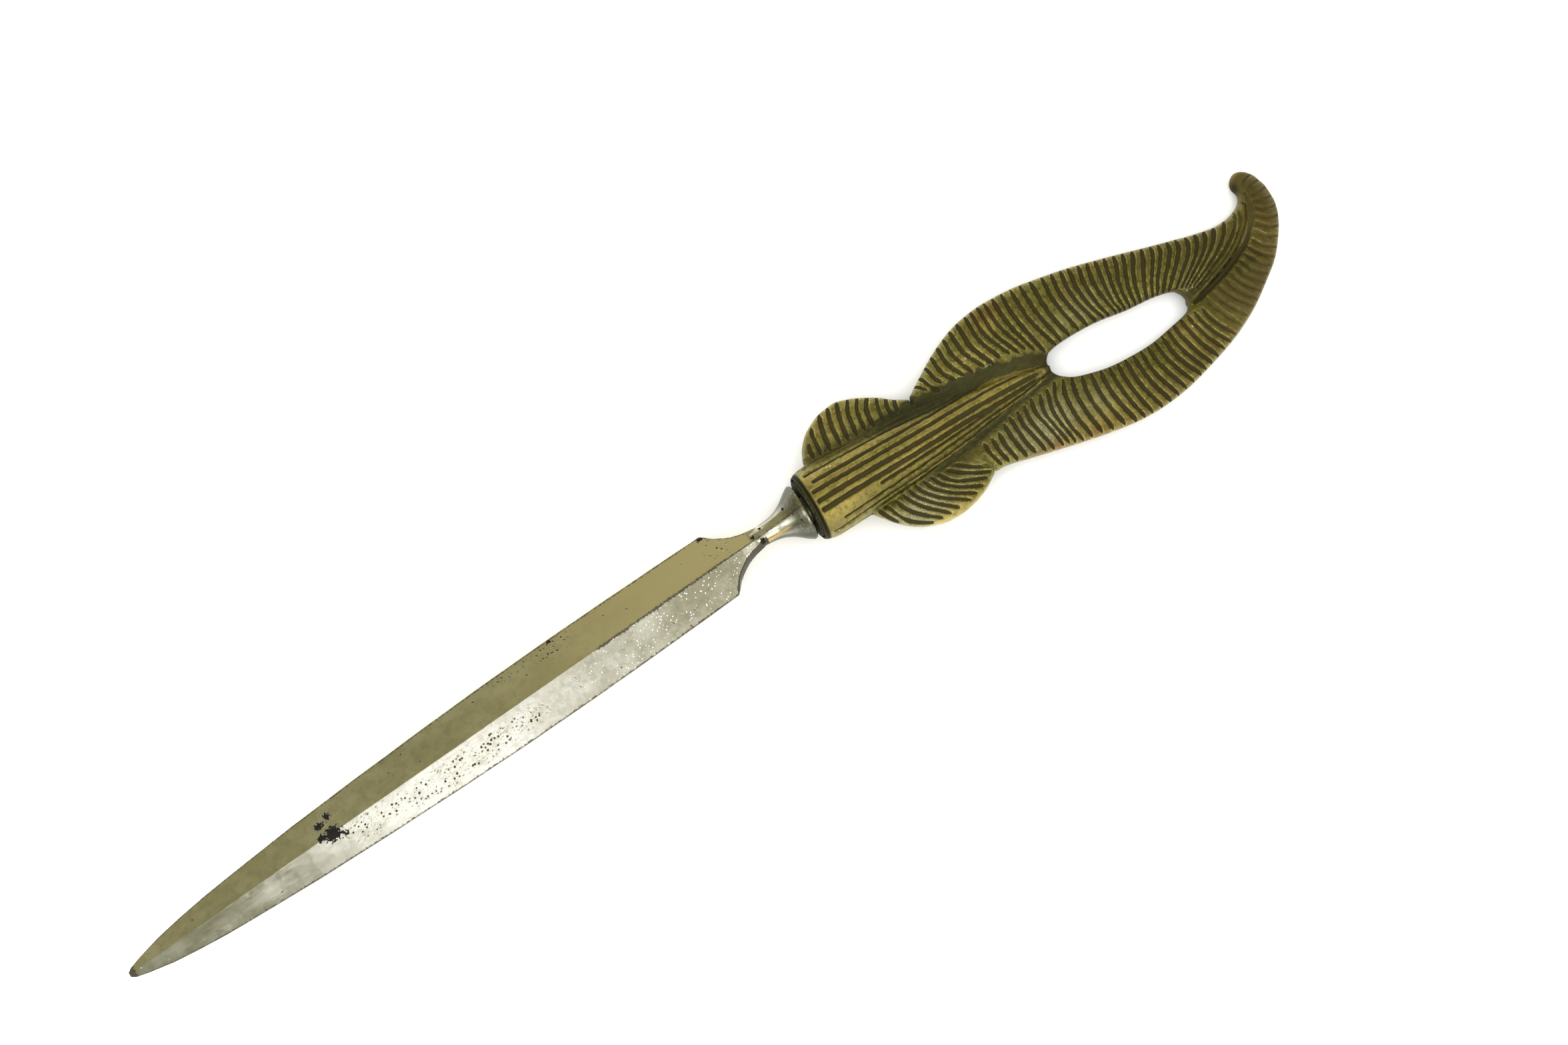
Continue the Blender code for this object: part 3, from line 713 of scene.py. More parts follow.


# Patina, rubbed brass, painted highlight and painted shade: x, y, radius x, radius y, strength
# Rubbed golden brass, partly painted highlight along the stem's lit band and the lobes' edges
GOLD = (
    (8, 1.5, 4, 4.5, 0.45), (9, -4.6, 6, 1.6, 0.65), (12, -2, 9, 3.5, 0.5),
    (24, -4.2, 8, 1.6, 0.7), (16, 1.5, 10, 2.5, 0.45), (30, -3, 12, 3.5, 0.5), (24, -17, 8, 1.4, 0.7),
    (52, 8, 2.2, 1.6, 0.7), (45, -2.6, 10, 2.4, 0.6), (82, -14.5, 3.4, 3, 0.6),
    (17, 9, 6, 3, 0.35), (60, -17.5, 6, 2.6, 0.4), (44, 4.5, 5, 3, 0.3),
)
# Pale silvery tone, partly painted highlight where the vanes and lobes slope towards the lamps
SILVER = (
    (50, -13.5, 7, 3.6, 0.9), (22, -12.6, 5, 3.4, 1), (60, -15, 4, 3, 0.5),
    (43, -12, 4, 3, 0.45), (67, 0.5, 5, 2.4, 0.35), (31, -12.6, 4, 2, 0.4),
)
RUSSET = (
    (52, 9.8, 3.6, 1.8, 0.8), (48, -17.6, 6, 1.1, 0.8), (56.5, -19.9, 6, 1.1, 0.8),
    (108, -2, 2.8, 7, 0.75), (104, -10, 4, 3, 0.6), (98, -14, 6, 2.5, 0.45),
    (90, -0.8, 2, 1.2, 0.5), (74.5, 6, 5, 1.8, 0.35), (107, 4, 2, 1.6, 0.7),
    (67, -22.3, 8, 1.1, 0.55), (45.5, -6, 3, 1.5, 0.35), (86, -19, 8, 1.6, 0.4),
)
# Painted shade: the hook's eye and both ends of the hole
SHADE_SPOTS = (
    (86.6, -8.4, 1.6, 1.8, 0.8), (105.9, 2.9, 1.25, 1.8, 1), (58, -7.6, 2.4, 1, 0.6),
    (55.6, -2.2, 1.8, 1.2, 0.55),
    (107.4, 3, 2.2, 2.2, 0.25),
)
DULL = (
    (98, -14, 13, 8, 1), (108, -2, 6, 9, 1), (80, -19.5, 9, 2.4, 0.5),
    (84, 1, 9, 2.6, 0.35), (10.5, 9, 3, 3.5, 0.5),
    (31.5, -10.2, 4.5, 2, 0.7), (39, -8.4, 5, 1, 0.5), (20, 8, 7, 3, 0.2),
    (94, -3, 8, 3.5, 0.6), (84, -16, 5, 3, 0.5),
)
SPARKS = (
    (40.3, 3.5, 1.3, 0.8, 1), (42.6, 4.7, 1.3, 1.4, 1), (45, 4.9, 1, 1.4, 0.8),
    (47.6, 2.6, 0.9, 1.3, 0.8), (35.5, 5.6, 1.2, 0.8, 0.6),
    (82.5, -14, 1.6, 2.4, 0.6), (10.5, 2.6, 2.6, 0.4, 0.7), (89, -8, 2.4, 1, 0.6),
)
# Patina and painted shade along the valleys beside the stem and the rachis: line, width, strength
VALLEYS = (
    (((30, 3.8), (36, 2.7), (42, 1.5), (48, -0.1), (54, -2.3), (56.2, -3.6)), 1.45, 1.3),
    (((34, -8.6), (40, -8), (46, -7.2), (52, -6.7), (56.6, -6.6)), 1.15, 0.85),
    (((9, 5.7), (20, 4.9), (29, 3.9)), 0.9, 1),
    (((13, -8.4), (22, -8.5), (31, -8.3)), 1.1, 0.8),
    (((86, -8.6), (92, -8.6), (98, -7), (101.5, -5.2)), 0.6, 0.5),
)


def valley_mask(points):
    """Dark patina and painted shade along the valleys beside the stem, with an uneven border."""
    ragged = 1 + 0.45 * lattice_noise((points[:, 0], points[:, 1]), 1.1, 31)
    total = np.zeros(len(points))
    for line, width, strength in VALLEYS:
        gap, _ = distance_to_line(points[:, 0], points[:, 1], smooth_line(line, step=1.5))
        total = np.maximum(total, strength * np.exp(-(gap * ragged / width) ** 2))
    return total


def make_handle(material):
    plan = Plan(VOXEL)
    points, triangles, quads = polygons(handle_field(plan), VOXEL)
    mesh = bpy.data.meshes.new("handle_casting")
    faces = [tuple(face[::-1]) for face in triangles] + [tuple(face[::-1]) for face in quads]
    mesh.from_pydata((points * MM).tolist(), [], faces)
    mesh.validate()
    mesh.update()
    mesh.shade_smooth()
    mark_handle(mesh, points, plan)
    return piece_from("handle_casting", mesh, material)


def mark_handle(mesh, points, plan):
    """Stores where the brass is grooved, rubbed, stained or dark, and where highlights, glints and
    shade are painted on it.
    """
    along, across = stem_coordinates(points[:, 0], points[:, 1])
    up = points[:, 2]
    width, height = stem_size(along)
    round_ = np.sqrt((across / width) ** 2 + (up / height) ** 2)
    on_stem = (round_ > 0.82) & (round_ < 1.2) & (along < STEM_END) & (along > MOUTH)
    fluted = flute_cut(along, across, up, width, height)
    on_top = on_stem & (np.abs(across) < width * 1.02)
    groove = np.where(on_top, fluted, plan.at(plan.groove, points))
    store(mesh, "groove", groove)
    # Rubbed golden brass and pale silvery tone, both partly painted highlight
    store(mesh, "gold", spots(points, GOLD))
    store(mesh, "silver", spots(points, SILVER) * np.where(on_stem, 0.3, 1.0))
    store(mesh, "russet", spots(points, RUSSET))
    store(mesh, "dull", spots(points, DULL))

    # Painted shade on the stem's upper and lower flanks and at its far end
    angle = stem_angle(across, up, width, height)
    above = ramp(0.0, SHADE_SOFTNESS, angle - read_path(SHADED_ABOVE, along))
    below = ramp(0.0, SHADE_SOFTNESS, read_path(SHADED_BELOW, along) - angle)
    stem_shade = np.maximum.reduce([
        above * read_path(ABOVE_STRENGTH, along),
        below * read_path(BELOW_STRENGTH, along),
        0.8 * ramp(60.8, 62.3, along),
    ])
    # The valleys get patina with painted shade; on the stem the painted shade of its flanks is stored
    # with them
    valley = valley_mask(points)
    store(mesh, "valley", np.where(on_stem, np.maximum(0.3 * valley, stem_shade), valley))
    on_rib = ramp(0.9, 0.3, groove) * ramp(-0.1, 0.3, up) * (1 - np.clip(valley, 0, 0.9))
    store(mesh, "spark", spots(points, SPARKS) * on_rib)

    # Painted shade on the rounded ring at the socket's mouth, a little lighter at its lip
    lip = 1 - 0.16 * np.exp(-((along - LIP_AT) / 0.14) ** 2)
    store(mesh, "mouth", ramp(*MOUTH_SHADE, along) * lip)
    # Darkening inside the mouth's recess, and painted shade at the hook, the hole's ends and round
    # the hole's rim
    in_mouth = (np.abs(across) < 6.4) & (along < 14.0)
    recess = ramp(6.5, 6.1, np.sqrt(across ** 2 + up ** 2)) * in_mouth
    painted_shade = np.where(on_stem, 0.35, 1.0) * spots(points, SHADE_SPOTS)
    hole_gap, _ = distance_to_line(points[:, 0], points[:, 1], plan.hole, closed=True)
    painted_shade = np.maximum(painted_shade, 0.6 * ramp(0.9, 0.1, hole_gap))
    store(mesh, "dark", np.maximum(painted_shade, recess))


# ---- Blade ----

def loft(rings):
    """Closed body through rings of equally many points, with a face over each end."""
    body = bmesh.new()
    loops = [[body.verts.new(point) for point in ring] for ring in rings]
    for here, there in zip(loops, loops[1:]):
        for i in range(len(here)):
            j = (i + 1) % len(here)
            body.faces.new((here[i], here[j], there[j], there[i]))
    body.faces.new(loops[0])
    body.faces.new(loops[-1])
    return body


def blade_section(half_width, ridge, undercut):
    """Half of the ring of points round the blade at one position, from ridge to ridge."""
    edge = max(ridge - FACET_SLOPE * half_width, EDGE_HALF_THICKNESS)
    lip = half_width - undercut
    lip_height = edge + FACET_SLOPE * undercut
    crest = min(0.05, 0.1 * half_width)
    top = []
    for i in range(FACET_STEPS + 1):
        share = i / FACET_STEPS
        across = crest + (lip - 0.06 - crest) * share
        up = ridge - (ridge - lip_height) * across / lip
        top.append((across, up))
    top[0] = (crest, ridge - 0.012)
    top.append((lip - 0.015, lip_height - 0.03))
    top.append((lip + 0.03 * undercut, lip_height - 0.09))
    wall = [(half_width, 0.0)]
    bottom = [(across, -up) for across, up in reversed(top)]
    return top + wall + bottom


def blade_ring(x):
    """Ring of points round the blade at x, with its shoulder a little wider on the upper side."""
    position, *columns = np.array(BLADE_STATIONS).T
    width, ridge, undercut = (np.interp(x, position, column) for column in columns)
    cut = min(undercut / FULL_UNDERCUT, 1.0)
    upper_half = blade_section(width + UPPER_SHOULDER_EXTRA * cut, ridge, UPPER_UNDERCUT * cut)
    lower_half = blade_section(width, ridge, undercut)
    ring = [(0.0, ridge)] + upper_half + [(0.0, -ridge)]
    ring += [(-across, up) for across, up in reversed(lower_half)]
    wave = EDGE_WAVE * math.sin(x / 3.1) * math.sin(x / 7.3 + 1.0)
    swell = 1 + wave / max(width, 1.0)
    return [(x, BLADE_CENTRE_Y + across * swell, up) for across, up in ring]


def make_blade(material):
    stations = np.array(BLADE_STATIONS)[:, 0]
    main_run = np.arange(stations[0], BLADE_END, BLADE_STEP)
    shoulder = np.arange(BLADE_END, stations[-1], SHOULDER_STEP)
    positions = np.unique(np.concatenate([main_run, shoulder, stations]).round(3))
    body = loft([blade_ring(x) for x in positions])
    blade = finished_body("blade_piece", body, material)
    neck = finished_body("neck_cutter", neck_body(), material)
    join = blade.modifiers.new("neck", "BOOLEAN")
    join.operation = "UNION"
    join.solver = "EXACT"
    join.object = neck
    apply_modifiers(blade)
    bpy.data.objects.remove(neck)
    mesh = blade.data
    mesh.shade_smooth()
    mesh.set_sharp_from_angle(angle=math.radians(11))
    mark_blade(mesh)
    return blade


def neck_body():
    """Neck, flare and tang turned about the socket's axis."""
    curve = smooth_line(NECK_PROFILE, step=0.25)
    profile = [tuple(point) for point in curve]
    profile += [(NECK_PROFILE[-1][0], TANG_RADIUS), (TANG_END - TANG_CHAMFER, TANG_RADIUS)]
    profile += [(TANG_END, TANG_RADIUS - TANG_CHAMFER)]
    turn = [2 * math.pi * i / TURNED_SIDES for i in range(TURNED_SIDES)]
    body = loft([[(position, radius * math.cos(a), radius * math.sin(a)) for a in turn]
                 for position, radius in profile])
    place = Matrix.Translation((NECK_POINT[0], NECK_POINT[1], 0.0))
    place = place @ Matrix.Rotation(math.radians(SOCKET_ANGLE), 4, "Z")
    bmesh.ops.transform(body, matrix=place, verts=body.verts)
    return body


def finished_body(name, body, material):
    """Turns a bmesh in millimetres into a placed piece with its normals facing out."""
    bmesh.ops.scale(body, vec=(MM, MM, MM), verts=body.verts)
    bmesh.ops.recalc_face_normals(body, faces=body.faces)
    mesh = bpy.data.meshes.new(name)
    body.to_mesh(mesh)
    body.free()
    return piece_from(name, mesh, material)


def apply_modifiers(piece):
    graph = bpy.context.evaluated_depsgraph_get()
    mesh = bpy.data.meshes.new_from_object(piece.evaluated_get(graph))
    piece.modifiers.clear()
    piece.data = mesh


# Blade marks: x, y, radius x, radius y, strength
BLACK_MARKS = (
    (-99.5, 2.2, 1.1, 0.8, 1), (-97.4, 2.8, 0.7, 0.8, 1), (-100.2, 0.1, 0.9, 0.7, 1),
    (-98, -0.4, 1.7, 1.4, 1.1), (-96.2, -1.6, 0.9, 0.7, 0.7), (-15.1, 5.9, 0.8, 0.5, 1),
    (-7.2, 0.3, 0.6, 0.4, 1), (-5.9, -1.1, 0.45, 0.6, 1), (0.2, 1.4, 0.3, 0.3, 0.9),
    (1, -0.8, 0.25, 0.25, 0.9), (1.7, -2.2, 0.3, 0.3, 0.9), (-5.2, 1, 0.3, 0.3, 0.9),
    (-48, 6, 0.6, 0.35, 0.9), (-49.2, 4.2, 0.5, 0.3, 0.8), (-65, 4.7, 0.5, 0.3, 0.8),
    (-81, 4.7, 0.4, 0.3, 0.7),
)
PITTED = (
    (-59.5, -3.4, 4.5, 1.6, 0.9), (-66, -3, 4, 1.6, 0.9), (-78, -3, 6, 1.5, 0.9),
    (-90, -2.6, 6, 1.7, 1), (-72, -3.4, 14, 2, 0.8), (-48, 4.8, 4, 1.6, 0.8),
    (-13.5, 3, 3, 2.5, 0.6), (-57, 5.4, 5, 0.9, 0.6),
)


# Where the marks of the blade and neck fade in along X, in the order from none to full
FADES = {
    "tip": (-138.7, -139.7),
    "ridge_line": (-46.0, -40.0),
    "cut_wall": (-15.2, -14.4),
    "worn": (-75.0, -15.0),
    "sparkle_start": (-52.0, -40.0),
    "sparkle_end": (-7.0, -9.0),
    "neck": (-8.0, -5.0),
    "flare": (-1.5, 1.2),
    "band_start": (-6.1, -5.2),
    "band_end": (1.7, 0.2),
    "streak_end": (0.4, -1.2),
    "underside": (-5.5, -4.5),
}
CUT_WALL_END = -4.9
NECK_START = -8.0
# Lighter patches on the blade's nearer facet: x, y, radius x, radius y, strength
LIGHTER_PATCHES = ((-32.0, -2.5, 2.2, 2.2, 1.0), (-131.5, -1.0, 4.0, 1.2, 0.3))


def mark_blade(mesh):
    """Stores where the steel is stained, pitted, worn or dark at its edges, and where glints, a
    highlight, a reflection and shade are painted on it.
    """
    places = np.zeros(len(mesh.vertices) * 3)
    mesh.vertices.foreach_get("co", places)
    back = np.array(TOOL_TO_ROW.inverted())
    places = (places.reshape(-1, 3) @ back[:3, :3].T + back[:3, 3]) / MM
    x, y, z = places.T
    fade = {name: ramp(*run, x) for name, run in FADES.items()}
    off_ridge = y - BLADE_CENTRE_Y
    across = np.abs(off_ridge)
    lower_side = ramp(0.2, -0.2, off_ridge)
    on_blade = x < NECK_START
    table = np.array(BLADE_STATIONS)
    width = np.interp(x, table[:, 0], table[:, 1])
    undercut = np.interp(x, table[:, 0], table[:, 3])

    store(mesh, "stain", spots(places, BLACK_MARKS) * np.where(z > -0.3, 1.0, 0.0))
    mirrored = places * np.array([1.0, -1.0, 1.0]) + np.array([9.0, 0.0, 0.0])
    store(mesh, "pitted", np.where(z > 0, spots(places, PITTED), 0.8 * spots(mirrored, PITTED)))
    store(mesh, "worn", 0.98 * ramp(-0.2, 0.2, off_ridge) * fade["worn"] * on_blade)
    store(mesh, "sparkle", fade["sparkle_start"] * fade["sparkle_end"] * lower_side)
    store(mesh, "lighter_patch", spots(places, LIGHTER_PATCHES) * ramp(0.4, -0.4, off_ridge))

    ridge_line = np.exp(-(across / 0.12) ** 2) * fade["ridge_line"]
    edge_line = np.exp(-((width - across) / 0.14) ** 2)
    cut_side = fade["cut_wall"] * (x < CUT_WALL_END)
    wall = cut_side * ramp(1.2, 0.7, width - across) * ramp(0.2, -0.4, y)
    beyond_lip = (across > width - undercut - 0.03) & (y < BLADE_CENTRE_Y)
    wall = np.maximum(wall, 0.80 * cut_side * beyond_lip)
    marks = [0.8 * ridge_line, 0.8 * edge_line * on_blade, wall, 0.95 * fade["tip"]]
    store(mesh, "edge", np.maximum.reduce(marks))

    along, across_neck = stem_coordinates(x, y)
    tarnish = 0.26 * fade["neck"] * (1 - 0.95 * ramp(-0.3, 0.3, across_neck))
    tarnish = tarnish + (0.92 - tarnish) * fade["flare"]
    rim = np.exp(-((along - 9.4) / 0.25) ** 2) * np.exp(-((across_neck + 0.8) / 2.2) ** 2)
    store(mesh, "neck", tarnish * (1 - 0.9 * rim))
    # Painted highlight: a pale band along the neck's nearer side, with a streak of painted reflection
    # below it
    run = fade["band_start"] * ramp(0.0, 0.4, z)
    band = ramp(0.12, -0.12, across_neck) * ramp(-1.5, -0.9, across_neck)
    store(mesh, "band", band * run * fade["band_end"])
    # Painted reflection: a golden streak below the band
    streak = np.exp(-((across_neck + 1.5) / 0.28) ** 2) * run
    store(mesh, "amber", streak * fade["streak_end"])
    # Painted shade on the neck's sides and underside
    low = ramp(0.80, 0.35, z / np.maximum(np.hypot(across_neck, z), 0.1))
    store(mesh, "underside", low * fade["underside"])


# ---- Materials ----

class Shader:
    """Small helper that adds and links nodes in one material."""

    def __init__(self, name):
        self.material = bpy.data.materials.new(name)
        self.material.use_nodes = True
        self.tree = self.material.node_tree
        self.surface = self.tree.nodes["Principled BSDF"]
        place = self.add("ShaderNodeTexCoord").outputs["Object"]
        self.place = self.add("ShaderNodeVectorMath", operation="SCALE", Vector=place, Scale=1000.0)
        self.place = self.place.outputs[0]
        self.colour = None

    def add(self, kind, **settings):
        node = self.tree.nodes.new(kind)
        for key, value in settings.items():
            if key in node.inputs:
                self.feed(node.inputs[key], value)
            else:
                setattr(node, key, value)
        return node

    def feed(self, socket, value):
        if isinstance(value, bpy.types.NodeSocket):
            self.tree.links.new(value, socket)
        elif isinstance(value, tuple) and len(value) == 3 and socket.type == "RGBA":
            socket.default_value = (*value, 1.0)
        else:
            socket.default_value = value

    def noise(self, scale, detail=4.0, roughness=0.55, stretch=(1.0, 1.0, 1.0), distortion=0.0):
        """Noise from 0 to 1 with about scale features per millimetre."""
        place = self.add("ShaderNodeMapping", Vector=self.place, Scale=stretch).outputs[0]
        node = self.add("ShaderNodeTexNoise", Vector=place, Scale=scale, Detail=detail,
                        Roughness=roughness, Distortion=distortion)
        return node.outputs["Fac"]

    def cells(self, scale, stretch=(1.0, 1.0, 1.0)):
        """Distance to the nearest of many scattered points."""
        place = self.add("ShaderNodeMapping", Vector=self.place, Scale=stretch).outputs[0]
        node = self.add("ShaderNodeTexVoronoi", Vector=place, Scale=scale)
        return node.outputs["Distance"]

    def mask(self, name):
        return self.add("ShaderNodeAttribute", attribute_name=name).outputs["Fac"]

    def math(self, operation, a, b=0.0, clamp=False):
        node = self.add("ShaderNodeMath", operation=operation, use_clamp=clamp)
        self.feed(node.inputs[0], a)
        self.feed(node.inputs[1], b)
        return node.outputs[0]

    def times(self, a, b):
        return self.math("MULTIPLY", a, b)

    def strongest(self, a, b):
        return self.math("MAXIMUM", a, b)

    def span(self, value, low, high, out_low=0.0, out_high=1.0):
        """Value from low to high, turned smoothly into out_low to out_high."""
        node = self.add("ShaderNodeMapRange", interpolation_type="SMOOTHSTEP")
        for socket, number in zip(node.inputs, (value, low, high, out_low, out_high)):
            self.feed(socket, number)
        return node.outputs[0]

    def mix(self, share, a, b):
        """Colour between a and b."""
        node = self.add("ShaderNodeMix", data_type="RGBA")
        self.feed(node.inputs[0], share)
        self.feed(node.inputs[6], a)
        self.feed(node.inputs[7], b)
        return node.outputs[2]

    def tint(self, share, colour):
        """Mixes another colour over the surface's colour so far."""
        self.colour = self.mix(share, self.colour, colour)

    def bump(self, height, distance, strength=1.0, under=None):
        node = self.add("ShaderNodeBump", Height=height, Distance=distance, Strength=strength)
        if under is not None:
            self.tree.links.new(under, node.inputs["Normal"])
        return node.outputs[0]

    def set(self, **sockets):
        for name, value in sockets.items():
            self.feed(self.surface.inputs[name.replace("_", " ")], value)
        return self.material


def brass_material():
    s = Shader("aged_brass_finish")
    mottle = s.noise(0.9, detail=6.0, roughness=0.65)
    broad = s.noise(0.16, detail=3.0)
    fine = s.noise(4.5, detail=5.0, roughness=0.7)
    groove = s.mask("groove")
    s.colour = s.mix(s.span(mottle, 0.36, 0.66), (0.160, 0.148, 0.040), (0.330, 0.298, 0.092))
    s.tint(s.span(broad, 0.46, 0.62, 0.0, 0.45), (0.225, 0.165, 0.070))
    # Rubbed golden brass, partly painted highlight
    gold = s.times(s.mask("gold"), s.span(mottle, 0.22, 0.54, 0.25, 1.0))
    s.tint(gold, (0.74, 0.58, 0.20))
    # Pale silvery tone, partly painted highlight
    silver = s.times(s.mask("silver"), s.span(fine, 0.38, 0.60))
    s.tint(silver, (0.66, 0.63, 0.47))
    russet = s.times(s.mask("russet"), s.span(mottle, 0.34, 0.58))
    s.tint(russet, (0.25, 0.115, 0.045))
    dull = s.mask("dull")
    s.tint(s.times(dull, 0.80), (0.128, 0.103, 0.040))
    soil = s.times(s.span(s.noise(1.1, detail=6.0, roughness=0.7), 0.52, 0.72), 0.35)
    s.tint(soil, (0.070, 0.055, 0.018))
    # Rubbed lips of the grooves, made brighter and glossier as painted glints
    worn = s.math("SUBTRACT", s.span(groove, 0.01, 0.12), s.span(groove, 0.12, 0.35))
    worn = s.times(worn, s.span(mottle, 0.42, 0.60, 0.15, 0.85))
    worn = s.times(worn, s.span(dull, 0.1, 0.9, 1.0, 0.08))
    s.tint(worn, (0.66, 0.58, 0.25))
    # Patina with painted shade in the valleys, and painted shade on the stem's flanks
    valley = s.math("ADD", s.mask("valley"), s.span(mottle, 0.3, 0.7, -0.25, 0.25))
    valley = s.span(valley, 0.15, 0.75, 0.0, 0.92)
    s.tint(valley, (0.023, 0.024, 0.010))
    # Dark grooves, with the painted shade of the dark mask added
    depth = s.math("ADD", s.span(groove, 0.22, 0.66, 0.0, 0.97), s.mask("dark"), clamp=True)
    shade = s.times(depth, s.span(fine, 0.20, 0.60, 0.94, 1.0))
    s.tint(shade, (0.031, 0.026, 0.009))
    sparks = s.times(s.span(s.cells(1.2), 0.30, 0.16), s.mask("spark"))
    s.tint(sparks, (0.98, 0.93, 0.66))
    # Painted shade on the rounded ring at the socket's mouth
    mouth = s.mask("mouth")
    s.tint(mouth, (0.011, 0.011, 0.005))
    shade = s.strongest(shade, mouth)
    rough = s.span(mottle, 0.30, 0.70, 0.22, 0.38)
    rough = s.math("SUBTRACT", rough, s.times(worn, 0.08))
    rough = s.math("ADD", rough, s.times(s.strongest(shade, valley), 0.30))
    rough = s.math("ADD", rough, s.times(dull, 0.10))
    grain = s.bump(fine, 0.00010, 1.0)
    grain = s.bump(mottle, 0.00022, 0.9, grain)
    metal = s.span(s.strongest(shade, s.times(valley, 0.8)), 0.0, 1.0, 1.0, 0.3)
    metal = s.math("SUBTRACT", metal, s.times(sparks, 0.6), clamp=True)
    s.set(Specular_IOR_Level=0.08)
    return s.set(Base_Color=s.colour, Roughness=rough, Metallic=metal, Normal=grain)


def steel_material():
    s = Shader("polished_steel_finish")
    cloud = s.noise(0.11, detail=4.0, stretch=(1.0, 1.6, 1.0))
    scratch = s.noise(2.2, detail=4.0, roughness=0.7, stretch=(0.06, 2.4, 2.4))
    fine = s.noise(7.0, detail=4.0, roughness=0.7)
    ragged = s.noise(2.6, detail=3.0, roughness=0.6)
    s.colour = s.mix(s.span(cloud, 0.36, 0.66), (0.54, 0.51, 0.43), (0.66, 0.64, 0.58))
    haze = s.noise(0.5, detail=7.0, roughness=0.72)
    s.tint(s.span(haze, 0.44, 0.66, 0.0, 0.42), (0.34, 0.34, 0.27))
    s.tint(s.mask("worn"), (0.86, 0.77, 0.60))
    s.tint(s.span(scratch, 0.50, 0.75, 0.0, 0.16), (0.40, 0.37, 0.31))
    s.tint(s.times(s.mask("lighter_patch"), 0.6), (0.85, 0.84, 0.80))
    tarnish = s.times(s.mask("neck"), s.span(ragged, 0.30, 0.62, 0.75, 1.0))
    s.tint(tarnish, (0.105, 0.108, 0.080))
    # Painted shade on the neck's sides and underside
    s.tint(s.times(s.mask("underside"), 0.85), (0.050, 0.050, 0.038))
    # Painted highlight: the pale band along the neck
    band = s.times(s.mask("band"), s.span(ragged, 0.30, 0.60, 0.28, 0.60))
    s.tint(band, (0.70, 0.72, 0.62))
    # Painted reflection: the golden streak below the band
    amber = s.times(s.mask("amber"), 0.8)
    s.tint(amber, (0.70, 0.50, 0.17))
    glints = s.times(s.span(s.cells(1.7), 0.24, 0.15), s.mask("sparkle"))
    glints = s.times(glints, s.span(s.noise(0.6, detail=3.0), 0.42, 0.50))
    s.tint(glints, (1.0, 1.0, 0.98))
    keep = s.span(s.noise(0.62, detail=2.0), 0.40, 0.48)
    dots = s.span(s.cells(1.35), 0.34, 0.20)
    pits = s.times(s.times(dots, keep), s.span(s.mask("pitted"), 0.1, 0.5))
    grit = s.times(s.span(s.cells(3.2), 0.30, 0.16), s.span(s.mask("pitted"), 0.2, 0.7))
    pits = s.strongest(pits, s.times(grit, s.span(ragged, 0.48, 0.56, 0.0, 0.8)))
    scattered = s.times(s.span(s.cells(0.42), 0.11, 0.06), keep)
    pits = s.strongest(pits, s.times(scattered, 0.8))
    s.tint(s.times(pits, 0.94), (0.05, 0.045, 0.03))
    # Dark lines along the ridge and edges, and a dark cut wall and tip
    dark_edges = s.math("ADD", s.mask("edge"), s.span(ragged, 0.30, 0.70, -0.25, 0.25))
    s.tint(s.span(dark_edges, 0.25, 0.70, 0.0, 0.95), (0.040, 0.034, 0.022))
    stain = s.math("ADD", s.mask("stain"), s.span(ragged, 0.25, 0.75, -0.34, 0.34))
    black = s.span(stain, 0.42, 0.50)
    s.tint(black, (0.012, 0.010, 0.009))
    rough = s.span(cloud, 0.35, 0.65, 0.13, 0.18)
    rough = s.math("ADD", rough, s.times(s.mask("neck"), 0.20))
    rough = s.math("ADD", rough, s.times(s.strongest(black, pits), 0.4))
    rough = s.math("ADD", rough, s.span(scratch, 0.4, 0.7, 0.0, 0.06))
    height = s.math("SUBTRACT", s.times(fine, 0.3), s.times(pits, 1.6))
    height = s.math("SUBTRACT", height, s.times(glints, 2.5))
    relief = s.bump(height, 0.00003, 0.7)
    relief = s.bump(scratch, 0.00002, 0.5, relief)
    dull = s.strongest(black, s.span(dark_edges, 0.45, 0.85, 0.0, 0.9))
    # The painted highlight band and reflected streak are made less metallic so that they show pale
    pale = s.times(s.strongest(band, amber), 0.7)
    dull = s.strongest(dull, pale)
    metal = s.math("SUBTRACT", 1.0, s.times(s.strongest(dull, glints), 0.9))
    s.set(Specular_IOR_Level=0.08)
    return s.set(Base_Color=s.colour, Roughness=rough, Metallic=metal, Normal=relief)


def bedding_material():
    s = Shader("dark_bedding_finish")
    grain = s.noise(2.2, detail=5.0)
    colour = s.mix(s.span(grain, 0.35, 0.65), (0.014, 0.013, 0.006), (0.060, 0.056, 0.026))
    rough = s.span(grain, 0.3, 0.7, 0.65, 0.9)
    s.set(Specular_IOR_Level=0.2)
    return s.set(Base_Color=colour, Roughness=rough, Normal=s.bump(grain, 0.0001, 0.8))


# ---- Floor, light and camera, in metres in the row frame ----

VIEW_TARGET = Vector((0.01442, 0.00573, 0.0))
VIEW_RIGHT = Vector((0.8155, -0.5788, 0.0))
VIEW_UP = Vector((0.5788, 0.8155, 0.0))
VIEW_DISTANCE = 0.405
VIEW_TILT = 8.0
NEAR_WALL = (0.33, 0.335, 0.23)
FAR_WALL = (0.42, 0.40, 0.215)
SKY_STRENGTH = 3.4
SKY_WIDTH = 85.0
LENS = 50.0
SENSOR_WIDTH = 36.0
FLOOR_REACH = 4.0
NEUTRAL = (1.0, 1.0, 0.96)

